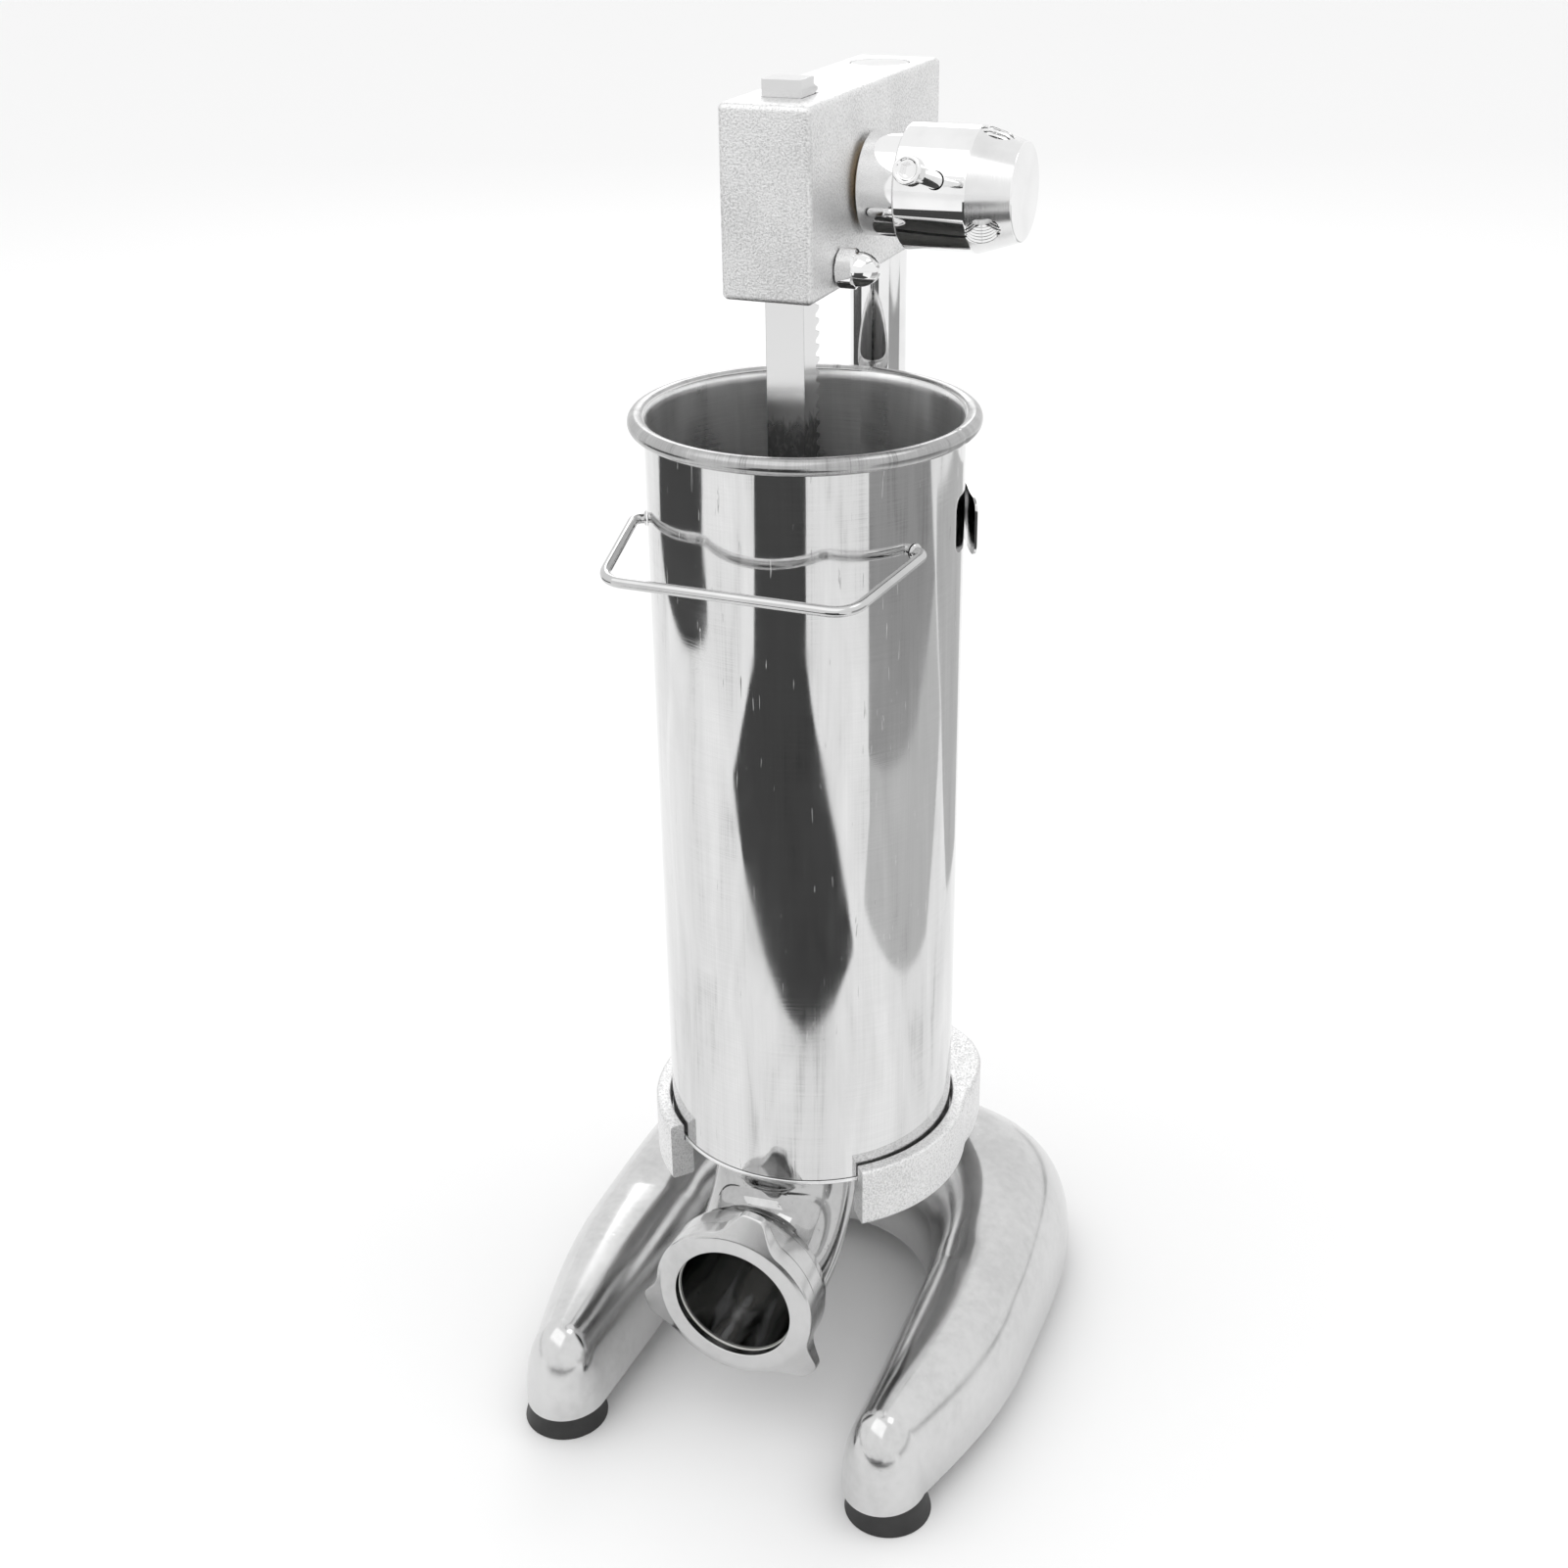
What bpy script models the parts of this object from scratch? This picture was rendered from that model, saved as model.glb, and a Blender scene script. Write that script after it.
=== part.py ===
"""Churro machine: a hand press whose rack drives a piston down an upright barrel.

Units are metres, +Z is up, X is to the right and -Y is to the front. The origin lies on the
floor, straight below the barrel's axis.
"""

import math

import bmesh
import bpy
import numpy as np
from mathutils import Matrix, Vector

# Clearance between neighbours, the overrun of every cut, and mesh welding
GAP = 0.0003
OVERRUN = 0.004
WELD_DISTANCE = 0.000002

# Barrel and its foot plate
BARREL_RADIUS = 0.060
BARREL_WALL = 0.0012
BARREL_FOOT_Z = 0.114
BARREL_HEIGHT = 0.3052
BEAD_RADIUS = 0.0033
PLATE_LIP = 0.0006
PLATE_LIP_HEIGHT = 0.0017
PLATE_THICKNESS = 0.005

# Outlet elbow below the barrel
OUTLET_INSET = 0.033
OUTLET_AXIS_Z = 0.0702
ELBOW_BORE_RADIUS = 0.025
ELBOW_WALL = 0.005
ELBOW_BEND_RADIUS = 0.038
ELBOW_COLLAR_RISE = 0.003
ELBOW_COLLAR_LENGTH = 0.0058
SPIGOT_LENGTH = 0.0128

# Nozzle nut and the ring that it clamps
NUT_MOUTH_RADIUS = 0.0254
NUT_WALL = 0.0042
NUT_FACE_RADIUS = 0.032
NUT_FACE_THICKNESS = 0.0033
LOBE_RADIUS = 0.044
LOBE_DROP = 0.0042
LOBE_THICKNESS = 0.0038
LOBE_ROOT_RISE = 0.0003
LOBE_TIP_HALF_ANGLE = math.radians(6.4)
LOBE_HALF_ANGLE = math.radians(24.0)
LOBE_ANGLES = [math.radians(angle) for angle in (79.0, -41.0, -161.0)]
NOZZLE_RING_THICKNESS = 0.001

# Carrying handle of the barrel
WIRE_RADIUS = 0.002
HANDLE_BELOW_RIM = 0.0372
HANDLE_DROP = 0.0064
HANDLE_STAND = 0.018
HANDLE_NARROWING = 0.0123
HANDLE_END_ANGLE = math.radians(27.2)
HANDLE_END_STAND = 0.0045
HANDLE_CORNER_RADIUS = 0.008
HANDLE_END_RADIUS = 0.003

# Column, its stud, washer and nut
COLUMN_RADIUS = 0.0112
COLUMN_STAND = 0.0183
COLUMN_CHAMFER = 0.0005
STUD_RADIUS = 0.008
STUD_END_Z = 0.0132
WASHER_RADIUS = 0.0145
WASHER_THICKNESS = 0.0027
COLUMN_NUT_FLATS = 0.024
COLUMN_NUT_HEIGHT = 0.0125

# Cast base, a hollow horseshoe
RIM_Z = 0.012
SHELL_WALL = 0.005
ARCH_INSET = 0.0075
LEG_SPREAD = 0.0023
LEG_LENGTH = 0.102
TOE_REACH = 0.0365
TOE_LENGTH = 0.019
HIP_REACH = 0.0524
HIP_Y = -0.0187
BASE_BACK_STAND = 0.0427
BACK_POWER = 3.9
TOE_HEIGHT = 0.0387
KNEE_HEIGHT = 0.0440
CROWN_HEIGHT = 0.0620
CROWN_RISE_POWER = 0.6
TOE_POWER = 2.2
KNEE_POWER = 2.6
CROWN_POWER = 1.35
TOE_RIDGE_SHARE = 0.5
KNEE_RIDGE_SHARE = 0.45
COLUMN_BOSS_RADIUS = 0.0185
COLUMN_BOSS_BOTTOM_Z = 0.030
COLUMN_SHOULDER_Z = 0.045

# Rubber feet and their screws
FOOT_RADIUS = 0.0178
FOOT_NECK_RADIUS = 0.0155
FOOT_WAIST_RADIUS = 0.0163
FOOT_WAIST_Z = 0.0055
FOOT_EDGE = 0.001
FOOT_BOSS_RADIUS = 0.009
FOOT_OUTSET = 0.0015
REAR_FOOT_TURN_SHARE = 0.62
REAR_FOOT_ACROSS_SHARE = 0.66
FOOT_RECESS_RADIUS = 0.0066
FOOT_RECESS_DEPTH = 0.006
FOOT_SCREW_RADIUS = 0.003
FOOT_SCREW_HEAD_RADIUS = 0.005
FOOT_SCREW_HEAD_HEIGHT = 0.0042
FOOT_SCREW_GRIP = 0.016

# Ring bracket that carries the barrel
RING_BOTTOM_Z = 0.096
RING_TOP_Z = 0.122
RING_WALL = 0.006
RING_CLEARANCE = 0.001
RING_LEDGE = 0.003
RING_OPENING_HALF_ANGLE = math.radians(40.0)
RING_SHOULDER_ANGLE = math.radians(15.0)
RING_SHOULDER_SHARES = [(0.955, 0.55), (0.925, 0.70), (0.81, 0.88), (0.61, 1.02)]
RING_BOSS_RADIUS = 0.0218
RING_BOSS_START = math.radians(22.0)
RING_EDGE = 0.0012
SET_SCREW_RADIUS = 0.004
SET_SCREW_LENGTH = 0.010
SET_SCREW_SOCKET_RADIUS = 0.0022
SET_SCREW_SOCKET_DEPTH = 0.004

# Spring band that steadies the barrel, and its collar on the column
BAND_HEIGHT = 0.0225
BAND_BELOW_RIM = 0.0512
BAND_CLEARANCE = 0.0012
BAND_THICKNESS = 0.0010
BAND_END_ANGLE = math.radians(9.4)
BAND_FLARE_ANGLE = math.radians(14.0)
BAND_FLARE = 0.0034

# Gear block
BLOCK_HALF_WIDTH = 0.01705
BLOCK_FRONT_WALL = 0.0165
BLOCK_BACK_STAND = 0.0218
BLOCK_ABOVE_RIM = 0.0494
BLOCK_HEIGHT = 0.0664
BLOCK_EDGE = 0.0022

# Rack
RACK_WIDTH = 0.0148
RACK_FRONT_Y = -0.0182
RACK_TOP_STAND = 0.006
RACK_TOP_EDGE = 0.0008
MODULE = 0.0015
PRESSURE_ANGLE = math.radians(20.0)
BACKLASH = 0.0002
ROOT_CLEARANCE_SHARE = 0.3
RACK_FIRST_TOOTH_Z = 0.186

# Pinion and shaft
PINION_TEETH = 34
PINION_WIDTH = 0.0196
CRANK_AXIS_RISE = 0.0326
SHAFT_RADIUS = 0.009
SHAFT_LEFT_LENGTH = 0.0248
BUSH_WALL = 0.003
BUSH_FLANGE_RADIUS = 0.0145
BUSH_FLANGE = 0.00115
SHAFT_RING_THICKNESS = 0.0012
SHAFT_RING_WALL = 0.0032
SHAFT_GROOVE_DEPTH = 0.001
POCKET_CLEARANCE = 0.0008

# Cover on the block's left side
COVER_THICKNESS = 0.003
COVER_MARGIN = 0.0040
COVER_REAR_REACH = 0.0360
COVER_FRONT_REACH = 0.0335
COVER_SCREW_INSET = 0.0034
COVER_SCREW_RADIUS = 0.002
COVER_SCREW_HEAD_RADIUS = 0.0032
COVER_SCREW_HEAD_HEIGHT = 0.0022
COVER_SCREW_GRIP = 0.0065

# Hub that takes the crank bars
HUB_COLLAR_RADIUS = 0.0182
HUB_COLLAR_LENGTH = 0.0147
HUB_RADIUS = 0.0221
HUB_BODY_LENGTH = 0.0265
HUB_END_RADIUS = 0.0171
HUB_CONE_LENGTH = 0.01567
HUB_EDGE = 0.0005
SOCKET_RADIUS = 0.0064
SOCKET_DEPTH = 0.011
SOCKET_PLACE_SHARE = 0.36
SOCKET_ANGLES = [math.radians(angle) for angle in (-34.0, 86.0, 206.0)]
HUB_END_WALL = 0.0215
HUB_SCREW_PLACE_SHARE = 0.60
HUB_SCREW_ANGLE = math.radians(16.0)
HUB_SCREW_RADIUS = 0.003
HUB_SCREW_HEAD_RADIUS = 0.005
HUB_SCREW_HEAD_HEIGHT = 0.006
HUB_SCREW_STAND = 0.031
HUB_SCREW_SOCKET_RADIUS = 0.0027
HUB_SCREW_SOCKET_DEPTH = 0.003

# Gib that presses on the rack's right side
GIB_Y = -0.0078
GIB_RISE = 0.0081
GIB_RADIUS = 0.004
GIB_PAD_THICKNESS = 0.0025
ACORN_FLATS = 0.013
ACORN_HEX_HEIGHT = 0.0065
ACORN_HEIGHT = 0.015
ACORN_DOME_RADIUS = 0.0061
ACORN_CAVITY_DEPTH = 0.0108

# Piston
PISTON_CLEARANCE = 0.001
PISTON_THICKNESS = 0.020
PISTON_EDGE = 0.0010
SEAL_WIDTH = 0.006
SEAL_DEPTH = 0.0034
PISTON_SCREW_RADIUS = 0.005
PISTON_SCREW_HEAD_RADIUS = 0.008
PISTON_SCREW_HEAD_HEIGHT = 0.0095
PISTON_SCREW_GRIP = 0.024
PISTON_WASHER_RADIUS = 0.0088
PISTON_WASHER_THICKNESS = 0.0015

# Facets
FINE_STEPS = 40
ROUND_STEPS = 24
SMALL_STEPS = 16
SCREW_STEPS = 10
NUT_STEPS = 54
ARC_STEPS = 6

# Places worked out from the sizes above
BARREL_BORE_RADIUS = BARREL_RADIUS - BARREL_WALL
OUTLET_OFFSET = BARREL_RADIUS - OUTLET_INSET
RING_INNER_RADIUS = BARREL_RADIUS + RING_CLEARANCE
RING_OUTER_RADIUS = RING_INNER_RADIUS + RING_WALL
RING_LEDGE_RADIUS = BARREL_RADIUS - RING_LEDGE
BAND_INNER_RADIUS = BARREL_RADIUS + BAND_CLEARANCE
HANDLE_REACH = BARREL_RADIUS + HANDLE_STAND
HANDLE_HALF_WIDTH = BARREL_RADIUS - HANDLE_NARROWING
COLUMN_Y = BARREL_RADIUS + COLUMN_STAND
ARCH_RADIUS = BARREL_RADIUS - ARCH_INSET
TOE_OUTER_X = ARCH_RADIUS + TOE_REACH
HIP_X = ARCH_RADIUS + HIP_REACH
BASE_BACK_Y = COLUMN_Y + BASE_BACK_STAND
BLOCK_FRONT_Y = RACK_FRONT_Y - BLOCK_FRONT_WALL
BLOCK_BACK_Y = COLUMN_Y + BLOCK_BACK_STAND
PLATE_TOP_Z = BARREL_FOOT_Z + PLATE_THICKNESS
RIM_CENTRE_Z = BARREL_FOOT_Z + BARREL_HEIGHT
HANDLE_Z = RIM_CENTRE_Z - HANDLE_BELOW_RIM
BAND_BOTTOM_Z = RIM_CENTRE_Z - BAND_BELOW_RIM
BLOCK_BOTTOM_Z = RIM_CENTRE_Z + BLOCK_ABOVE_RIM
COLUMN_TOP_Z = BLOCK_BOTTOM_Z + BLOCK_HEIGHT
CRANK_AXIS_Z = BLOCK_BOTTOM_Z + CRANK_AXIS_RISE
GIB_Z = BLOCK_BOTTOM_Z + GIB_RISE
ELBOW_RADIUS = ELBOW_BORE_RADIUS + ELBOW_WALL
ELBOW_TOP_Z = BARREL_FOOT_Z - GAP
ELBOW_BEND_END_Y = -OUTLET_OFFSET - ELBOW_BEND_RADIUS
SPIGOT_START_Y = ELBOW_BEND_END_Y - ELBOW_COLLAR_LENGTH
SPIGOT_END_Y = SPIGOT_START_Y - SPIGOT_LENGTH
NUT_BACK_Y = SPIGOT_START_Y - GAP
NOZZLE_RING_Y = SPIGOT_END_Y - GAP
NUT_DEPTH = NUT_BACK_Y - NOZZLE_RING_Y + NOZZLE_RING_THICKNESS + GAP
NUT_LENGTH = NUT_DEPTH + NUT_FACE_THICKNESS
NUT_THREAD_RADIUS = ELBOW_RADIUS + GAP
NUT_RADIUS = NUT_THREAD_RADIUS + NUT_WALL
PITCH_RADIUS = MODULE * PINION_TEETH / 2
RACK_TIP_Y = RACK_FRONT_Y + RACK_WIDTH + GAP / 2
RACK_PITCH_Y = RACK_TIP_Y - MODULE
CRANK_AXIS_Y = RACK_PITCH_Y + PITCH_RADIUS
TIP_RADIUS = PITCH_RADIUS + MODULE
TOOTH_PITCH = MODULE * math.pi
BUSH_RADIUS = SHAFT_RADIUS + GAP + BUSH_WALL
BLOCK_WALL_X = PINION_WIDTH / 2 + GAP
HUB_START_X = BLOCK_HALF_WIDTH + GAP + BUSH_FLANGE + GAP
HUB_BODY_X = HUB_START_X + HUB_COLLAR_LENGTH
HUB_CONE_X = HUB_BODY_X + HUB_BODY_LENGTH
HUB_END_X = HUB_CONE_X + HUB_CONE_LENGTH
SHAFT_END_X = HUB_END_X - HUB_END_WALL
PISTON_BOTTOM_Z = PLATE_TOP_Z + GAP
PISTON_TOP_Z = PISTON_BOTTOM_Z + PISTON_THICKNESS
PISTON_RADIUS = BARREL_BORE_RADIUS - PISTON_CLEARANCE
RACK_CENTRE_Y = RACK_FRONT_Y + RACK_WIDTH / 2
RACK_TOP_Z = COLUMN_TOP_Z + RACK_TOP_STAND
TOE_CENTRE_X = (ARCH_RADIUS + LEG_SPREAD + TOE_OUTER_X) / 2
SET_SCREW_START_Y = COLUMN_Y + COLUMN_RADIUS + GAP

# Directions that a turned or extruded shape can face
UPWARD = Matrix.Identity(3)
RIGHTWARD = Matrix(((0, 0, 1), (1, 0, 0), (0, 1, 0)))
FRONTWARD = Matrix(((1, 0, 0), (0, 0, -1), (0, 1, 0)))
BACKWARD = Matrix(((-1, 0, 0), (0, 0, 1), (0, 1, 0)))


def clear_scene():
    """Remove every object of the scene."""
    for item in list(bpy.data.objects):
        bpy.data.objects.remove(item, do_unlink=True)


def make_material(name, colour, roughness, metallic):
    """One plain surface for a sub-part."""
    surface = bpy.data.materials.new(name)
    surface.use_nodes = True
    shader = surface.node_tree.nodes["Principled BSDF"]
    shader.inputs["Base Color"].default_value = (*colour, 1.0)
    shader.inputs["Roughness"].default_value = roughness
    shader.inputs["Metallic"].default_value = metallic
    return surface


def polished_alloy(name):
    return make_material(name, (0.72, 0.72, 0.71), 0.16, 1.0)


def sand_cast_alloy(name):
    return make_material(name, (0.62, 0.62, 0.61), 0.55, 1.0)


def brushed_steel(name):
    return make_material(name, (0.66, 0.66, 0.65), 0.28, 1.0)


def bright_steel(name):
    return make_material(name, (0.80, 0.80, 0.80), 0.08, 1.0)


def black_rubber(name):
    return make_material(name, (0.020, 0.020, 0.021), 0.6, 0.0)


def white_plastic(name):
    return make_material(name, (0.82, 0.82, 0.80), 0.4, 0.0)


def bronze(name):
    return make_material(name, (0.58, 0.42, 0.24), 0.3, 1.0)


def add_object(name, mesh_data, place, facing, finish, parent=None):
    """Put a mesh in the scene at a place, facing a direction, and parent it where it moves."""
    mesh = bpy.data.meshes.new(name)
    mesh_data.to_mesh(mesh)
    mesh_data.free()
    mesh.shade_smooth()
    mesh.set_sharp_from_angle(angle=math.radians(32.0))
    item = bpy.data.objects.new(name, mesh)
    bpy.context.scene.collection.objects.link(item)
    item.matrix_world = Matrix.Translation(place) @ facing.to_4x4()
    if finish is not None:
        mesh.materials.append(finish(name))
    if parent is not None:
        item.parent = parent
        item.matrix_parent_inverse = Matrix.Translation(parent.location).inverted()
    return item


def add_cutter(target, name, mesh_data, place, facing, operation="DIFFERENCE"):
    """Cut a shape out of an object, or join it on, with an exact Boolean; it moves with its target."""
    cutter = add_object(name, mesh_data, place, facing, None, target.parent)
    cutter.hide_render = True
    cutter.display_type = "WIRE"
    change = target.modifiers.new(name, "BOOLEAN")
    change.operation = operation
    change.solver = "EXACT"
    change.object = cutter


def add_joint_axis(name, place):
    """An empty on the axis of a joint, which carries the pieces that move with it."""
    axis = bpy.data.objects.new(name, None)
    axis.location = place
    bpy.context.scene.collection.objects.link(axis)
    return axis


def lathe(profile, steps=ROUND_STEPS):
    """Turn a closed outline of (radius, height) points about Z; radius zero becomes a pole."""
    shape = bmesh.new()
    rings = []
    for radius, height in profile:
        if radius == 0:
            rings.append([shape.verts.new((0, 0, height))])
            continue
        angles = [2 * math.pi * step / steps for step in range(steps)]
        points = [(radius * math.cos(a), radius * math.sin(a), height) for a in angles]
        rings.append([shape.verts.new(point) for point in points])
    for first, second in zip(rings, rings[1:] + rings[:1]):
        bridge_rings(shape, first, second, steps)
    bmesh.ops.recalc_face_normals(shape, faces=shape.faces)
    return shape


def bridge_rings(shape, first, second, steps):
    """Faces between two turned rings, either of which may be a pole."""
    if len(first) == 1 and len(second) == 1:
        return
    for step in range(steps):
        follow = (step + 1) % steps
        if len(first) == 1:
            shape.faces.new((first[0], second[step], second[follow]))
        elif len(second) == 1:
            shape.faces.new((first[step], first[follow], second[0]))
        else:
            shape.faces.new((first[step], first[follow], second[follow], second[step]))


def prism(outline, low, high):
    """Extrude a closed outline of (x, y) points from one height to another."""
    shape = bmesh.new()
    lower = [shape.verts.new((x, y, low)) for x, y in outline]
    upper = [shape.verts.new((x, y, high)) for x, y in outline]
    shape.faces.new(lower)
    shape.faces.new(upper)
    count = len(outline)
    for index in range(count):
        follow = (index + 1) % count
        shape.faces.new((lower[index], lower[follow], upper[follow], upper[index]))
    bmesh.ops.recalc_face_normals(shape, faces=shape.faces)
    return shape


def cylinder(radius, low, high, steps=SMALL_STEPS):
    """A plain round bar along Z."""
    return lathe([(0, low), (radius, low), (radius, high), (0, high)], steps)


def tube(inner, outer, low, high, steps=ROUND_STEPS):
    """A plain ring along Z."""
    return lathe([(inner, low), (outer, low), (outer, high), (inner, high)], steps)


def box(low, high):
    """A rectangular block between two corners."""
    outline = [(low[0], low[1]), (high[0], low[1]), (high[0], high[1]), (low[0], high[1])]
    return prism(outline, low[2], high[2])


def hexagon(across_flats):
    """Corners of a hexagon with its flats facing up and down."""
    radius = across_flats / (2 * math.cos(math.pi / 6))
    return [(radius * math.cos(k * math.pi / 3), radius * math.sin(k * math.pi / 3)) for k in range(6)]


def arc(centre, radius, start, end, steps=ARC_STEPS):
    """Points along a round stretch of an outline."""
    turns = [start + (end - start) * step / steps for step in range(steps + 1)]
    return [(centre[0] + radius * math.cos(turn), centre[1] + radius * math.sin(turn)) for turn in turns]


def bevel_edges(item, width, segments):
    """Round the sharp edges of an object."""
    edge = item.modifiers.new("edges", "BEVEL")
    edge.width = width
    edge.segments = segments
    edge.limit_method = "ANGLE"
    edge.angle_limit = math.radians(40.0)


def welded_patches(patches):
    """One mesh from grids of points whose borders meet."""
    shape = bmesh.new()
    for patch in patches:
        rows, columns = patch.shape[:2]
        grid = [[shape.verts.new(patch[row, column]) for column in range(columns)] for row in range(rows)]
        for row in range(rows - 1):
            for column in range(columns - 1):
                corners = (grid[row][column], grid[row + 1][column])
                shape.faces.new((*corners, grid[row + 1][column + 1], grid[row][column + 1]))
    bmesh.ops.remove_doubles(shape, verts=shape.verts, dist=WELD_DISTANCE)
    bmesh.ops.dissolve_degenerate(shape, dist=WELD_DISTANCE, edges=shape.edges)
    bmesh.ops.recalc_face_normals(shape, faces=shape.faces)
    return shape


def swept_tube(stations, steps):
    """A closed skin through rings of (centre, normal, side, radius), first ring after last."""
    shape = bmesh.new()
    rings = []
    for centre, normal, side, radius in stations:
        across = normal.cross(side).normalized()
        angles = [2 * math.pi * step / steps for step in range(steps)]
        spokes = [math.cos(a) * side + math.sin(a) * across for a in angles]
        rings.append([shape.verts.new(centre + radius * spoke) for spoke in spokes])
    return shape, rings


def rod_along(points, radius, steps):
    """A round rod through a list of points, closed at both ends."""
    stations = []
    side = None
    for index, point in enumerate(points):
        ahead = points[min(index + 1, len(points) - 1)]
        behind = points[max(index - 1, 0)]
        normal = (ahead - behind).normalized()
        reference = side if side is not None else normal.orthogonal()
        side = (reference - normal * reference.dot(normal)).normalized()
        stations.append((point, normal, side, radius))
    shape, rings = swept_tube(stations, steps)
    for first, second in zip(rings, rings[1:]):
        bridge_rings(shape, first, second, steps)
    shape.faces.new(rings[0])
    shape.faces.new(rings[-1])
    bmesh.ops.recalc_face_normals(shape, faces=shape.faces)
    return shape


def rounded_route(corners, radii, steps=ARC_STEPS):
    """Points along straight runs whose inner corners are rounded."""
    route = [corners[0]]
    for index in range(1, len(corners) - 1):
        corner = corners[index]
        reach = radii[index - 1]
        start = corner + (corners[index - 1] - corner).normalized() * reach
        end = corner + (corners[index + 1] - corner).normalized() * reach
        for step in range(steps + 1):
            t = step / steps
            route.append(start * (1 - t) ** 2 + corner * (2 * t * (1 - t)) + end * t ** 2)
    route.append(corners[-1])
    return route


def base_edges(stations, inset):
    """Inner edge, outer edge and ridge in plan, with height and fullness, along the base.

    A station runs from 0 at the toe, along the leg and round the arch, to 1 at the back.
    """
    turn_length = ARCH_RADIUS * math.pi / 2
    distance = np.asarray(stations) * (LEG_LENGTH + turn_length)
    leg = np.clip(distance / LEG_LENGTH, 0, 1)
    on_leg = distance < LEG_LENGTH
    turn = np.clip((distance - LEG_LENGTH) / ARCH_RADIUS, 0, math.pi / 2)
    bend = turn / (math.pi / 2)
    inner_x = np.where(on_leg, ARCH_RADIUS + LEG_SPREAD * (1 - leg), ARCH_RADIUS * np.cos(turn))
    inner_y = np.where(on_leg, LEG_LENGTH * (leg - 1), ARCH_RADIUS * np.sin(turn))
    power = 2 / BACK_POWER
    swell = TOE_OUTER_X + (HIP_X - TOE_OUTER_X) * np.sin(leg * math.pi / 2)
    outer_x = np.where(on_leg, swell, HIP_X * np.abs(np.cos(turn)) ** power)
    back_reach = (BASE_BACK_Y - HIP_Y) * np.abs(np.sin(turn)) ** power
    outer_y = np.where(on_leg, -LEG_LENGTH + leg * (LEG_LENGTH + HIP_Y), HIP_Y + back_reach)
    inner = np.stack([inner_x, inner_y], axis=1)
    outer = np.stack([outer_x, outer_y], axis=1)
    crown_share = (COLUMN_Y - ARCH_RADIUS) / (BASE_BACK_Y - ARCH_RADIUS)
    leg_share = TOE_RIDGE_SHARE + (KNEE_RIDGE_SHARE - TOE_RIDGE_SHARE) * leg
    share = np.where(on_leg, leg_share, KNEE_RIDGE_SHARE + (crown_share - KNEE_RIDGE_SHARE) * bend)
    ridge = inner + (outer - inner) * share[:, None]
    across = (outer - inner) / np.linalg.norm(outer - inner, axis=1)[:, None]
    rise = np.sin(bend * math.pi / 2) ** CROWN_RISE_POWER
    height = np.where(on_leg, TOE_HEIGHT + (KNEE_HEIGHT - TOE_HEIGHT) * leg,
                      KNEE_HEIGHT + (CROWN_HEIGHT - KNEE_HEIGHT) * rise)
    leg_power = TOE_POWER + (KNEE_POWER - TOE_POWER) * leg
    fullness = np.where(on_leg, leg_power, KNEE_POWER + (CROWN_POWER - KNEE_POWER) * bend)
    return inner + across * inset, outer - across * inset, ridge, height - inset, fullness


def arch_rows(edge, ridge, height, fullness, steps):
    """Rows of points from an edge on the rim up to the ridge, as a quarter of a superellipse."""
    angle = np.linspace(0, math.pi / 2, steps + 1)[None, :]
    power = (2 / fullness)[:, None]
    reach = np.abs(np.cos(angle)) ** power
    reach[:, -1] = 0
    lift = np.abs(np.sin(angle)) ** power
    rows = np.empty((len(edge), steps + 1, 3))
    rows[:, :, :2] = ridge[:, None, :] + (edge - ridge)[:, None, :] * reach[:, :, None]
    rows[:, :, 2] = RIM_Z + height[:, None] * lift
    return rows


def base_skin(inset, side):
    """Inner flank, outer flank and toe of one half of the base, as grids of points."""
    leg_stations = np.linspace(0, LEG_LENGTH, 5)
    turn_stations = LEG_LENGTH + np.linspace(0, ARCH_RADIUS * math.pi / 2, 12)[1:]
    stations = np.concatenate([leg_stations, turn_stations])
    stations = stations / stations[-1]
    inner, outer, ridge, height, fullness = base_edges(stations, inset)
    inner_flank = arch_rows(inner, ridge, height, fullness, ARC_STEPS)
    outer_flank = arch_rows(outer, ridge, height, fullness, ARC_STEPS)
    swing = np.linspace(0, math.pi, 9)
    half_width = outer[0, 0] - ridge[0, 0]
    length = TOE_LENGTH - inset
    edge = ridge[0] - np.stack([half_width * np.cos(swing), length * np.sin(swing)], axis=1)
    edge[0] = inner[0]
    edge[-1] = outer[0]
    same = np.ones(len(swing))
    toe = arch_rows(edge, ridge[:1] * same[:, None], height[0] * same, fullness[0] * same, ARC_STEPS)
    inner_flank[-1, :, 0] = 0
    outer_flank[-1, :, 0] = 0
    for grid in (inner_flank, outer_flank, toe):
        grid[:, :, 0] *= side
    return [inner_flank, outer_flank, toe]


def base_roof_z(station, across_share):
    """Height of the base's outer surface at a share of its width."""
    inner, outer, ridge, height, fullness = base_edges([station], 0)
    width = np.linalg.norm(outer[0] - inner[0])
    ridge_share = np.linalg.norm(ridge[0] - inner[0]) / width
    reach = (across_share - ridge_share) / (1 - ridge_share)
    cosine = min(abs(reach), 1.0) ** (fullness[0] / 2)
    return RIM_Z + height[0] * math.sqrt(1 - cosine ** 2) ** (2 / fullness[0])


def rear_foot_place():
    """Place of the right rear foot under the base, and the roof over its boss."""
    turn_length = ARCH_RADIUS * math.pi / 2
    station = (LEG_LENGTH + turn_length * REAR_FOOT_TURN_SHARE) / (LEG_LENGTH + turn_length)
    inner, outer = base_edges([station], 0)[:2]
    width = np.linalg.norm(outer[0] - inner[0])
    x, y = inner[0] + (outer[0] - inner[0]) * REAR_FOOT_ACROSS_SHARE
    roof = base_roof_z(station, REAR_FOOT_ACROSS_SHARE + FOOT_BOSS_RADIUS / width)
    return float(x), float(y), float(roof)


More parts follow.
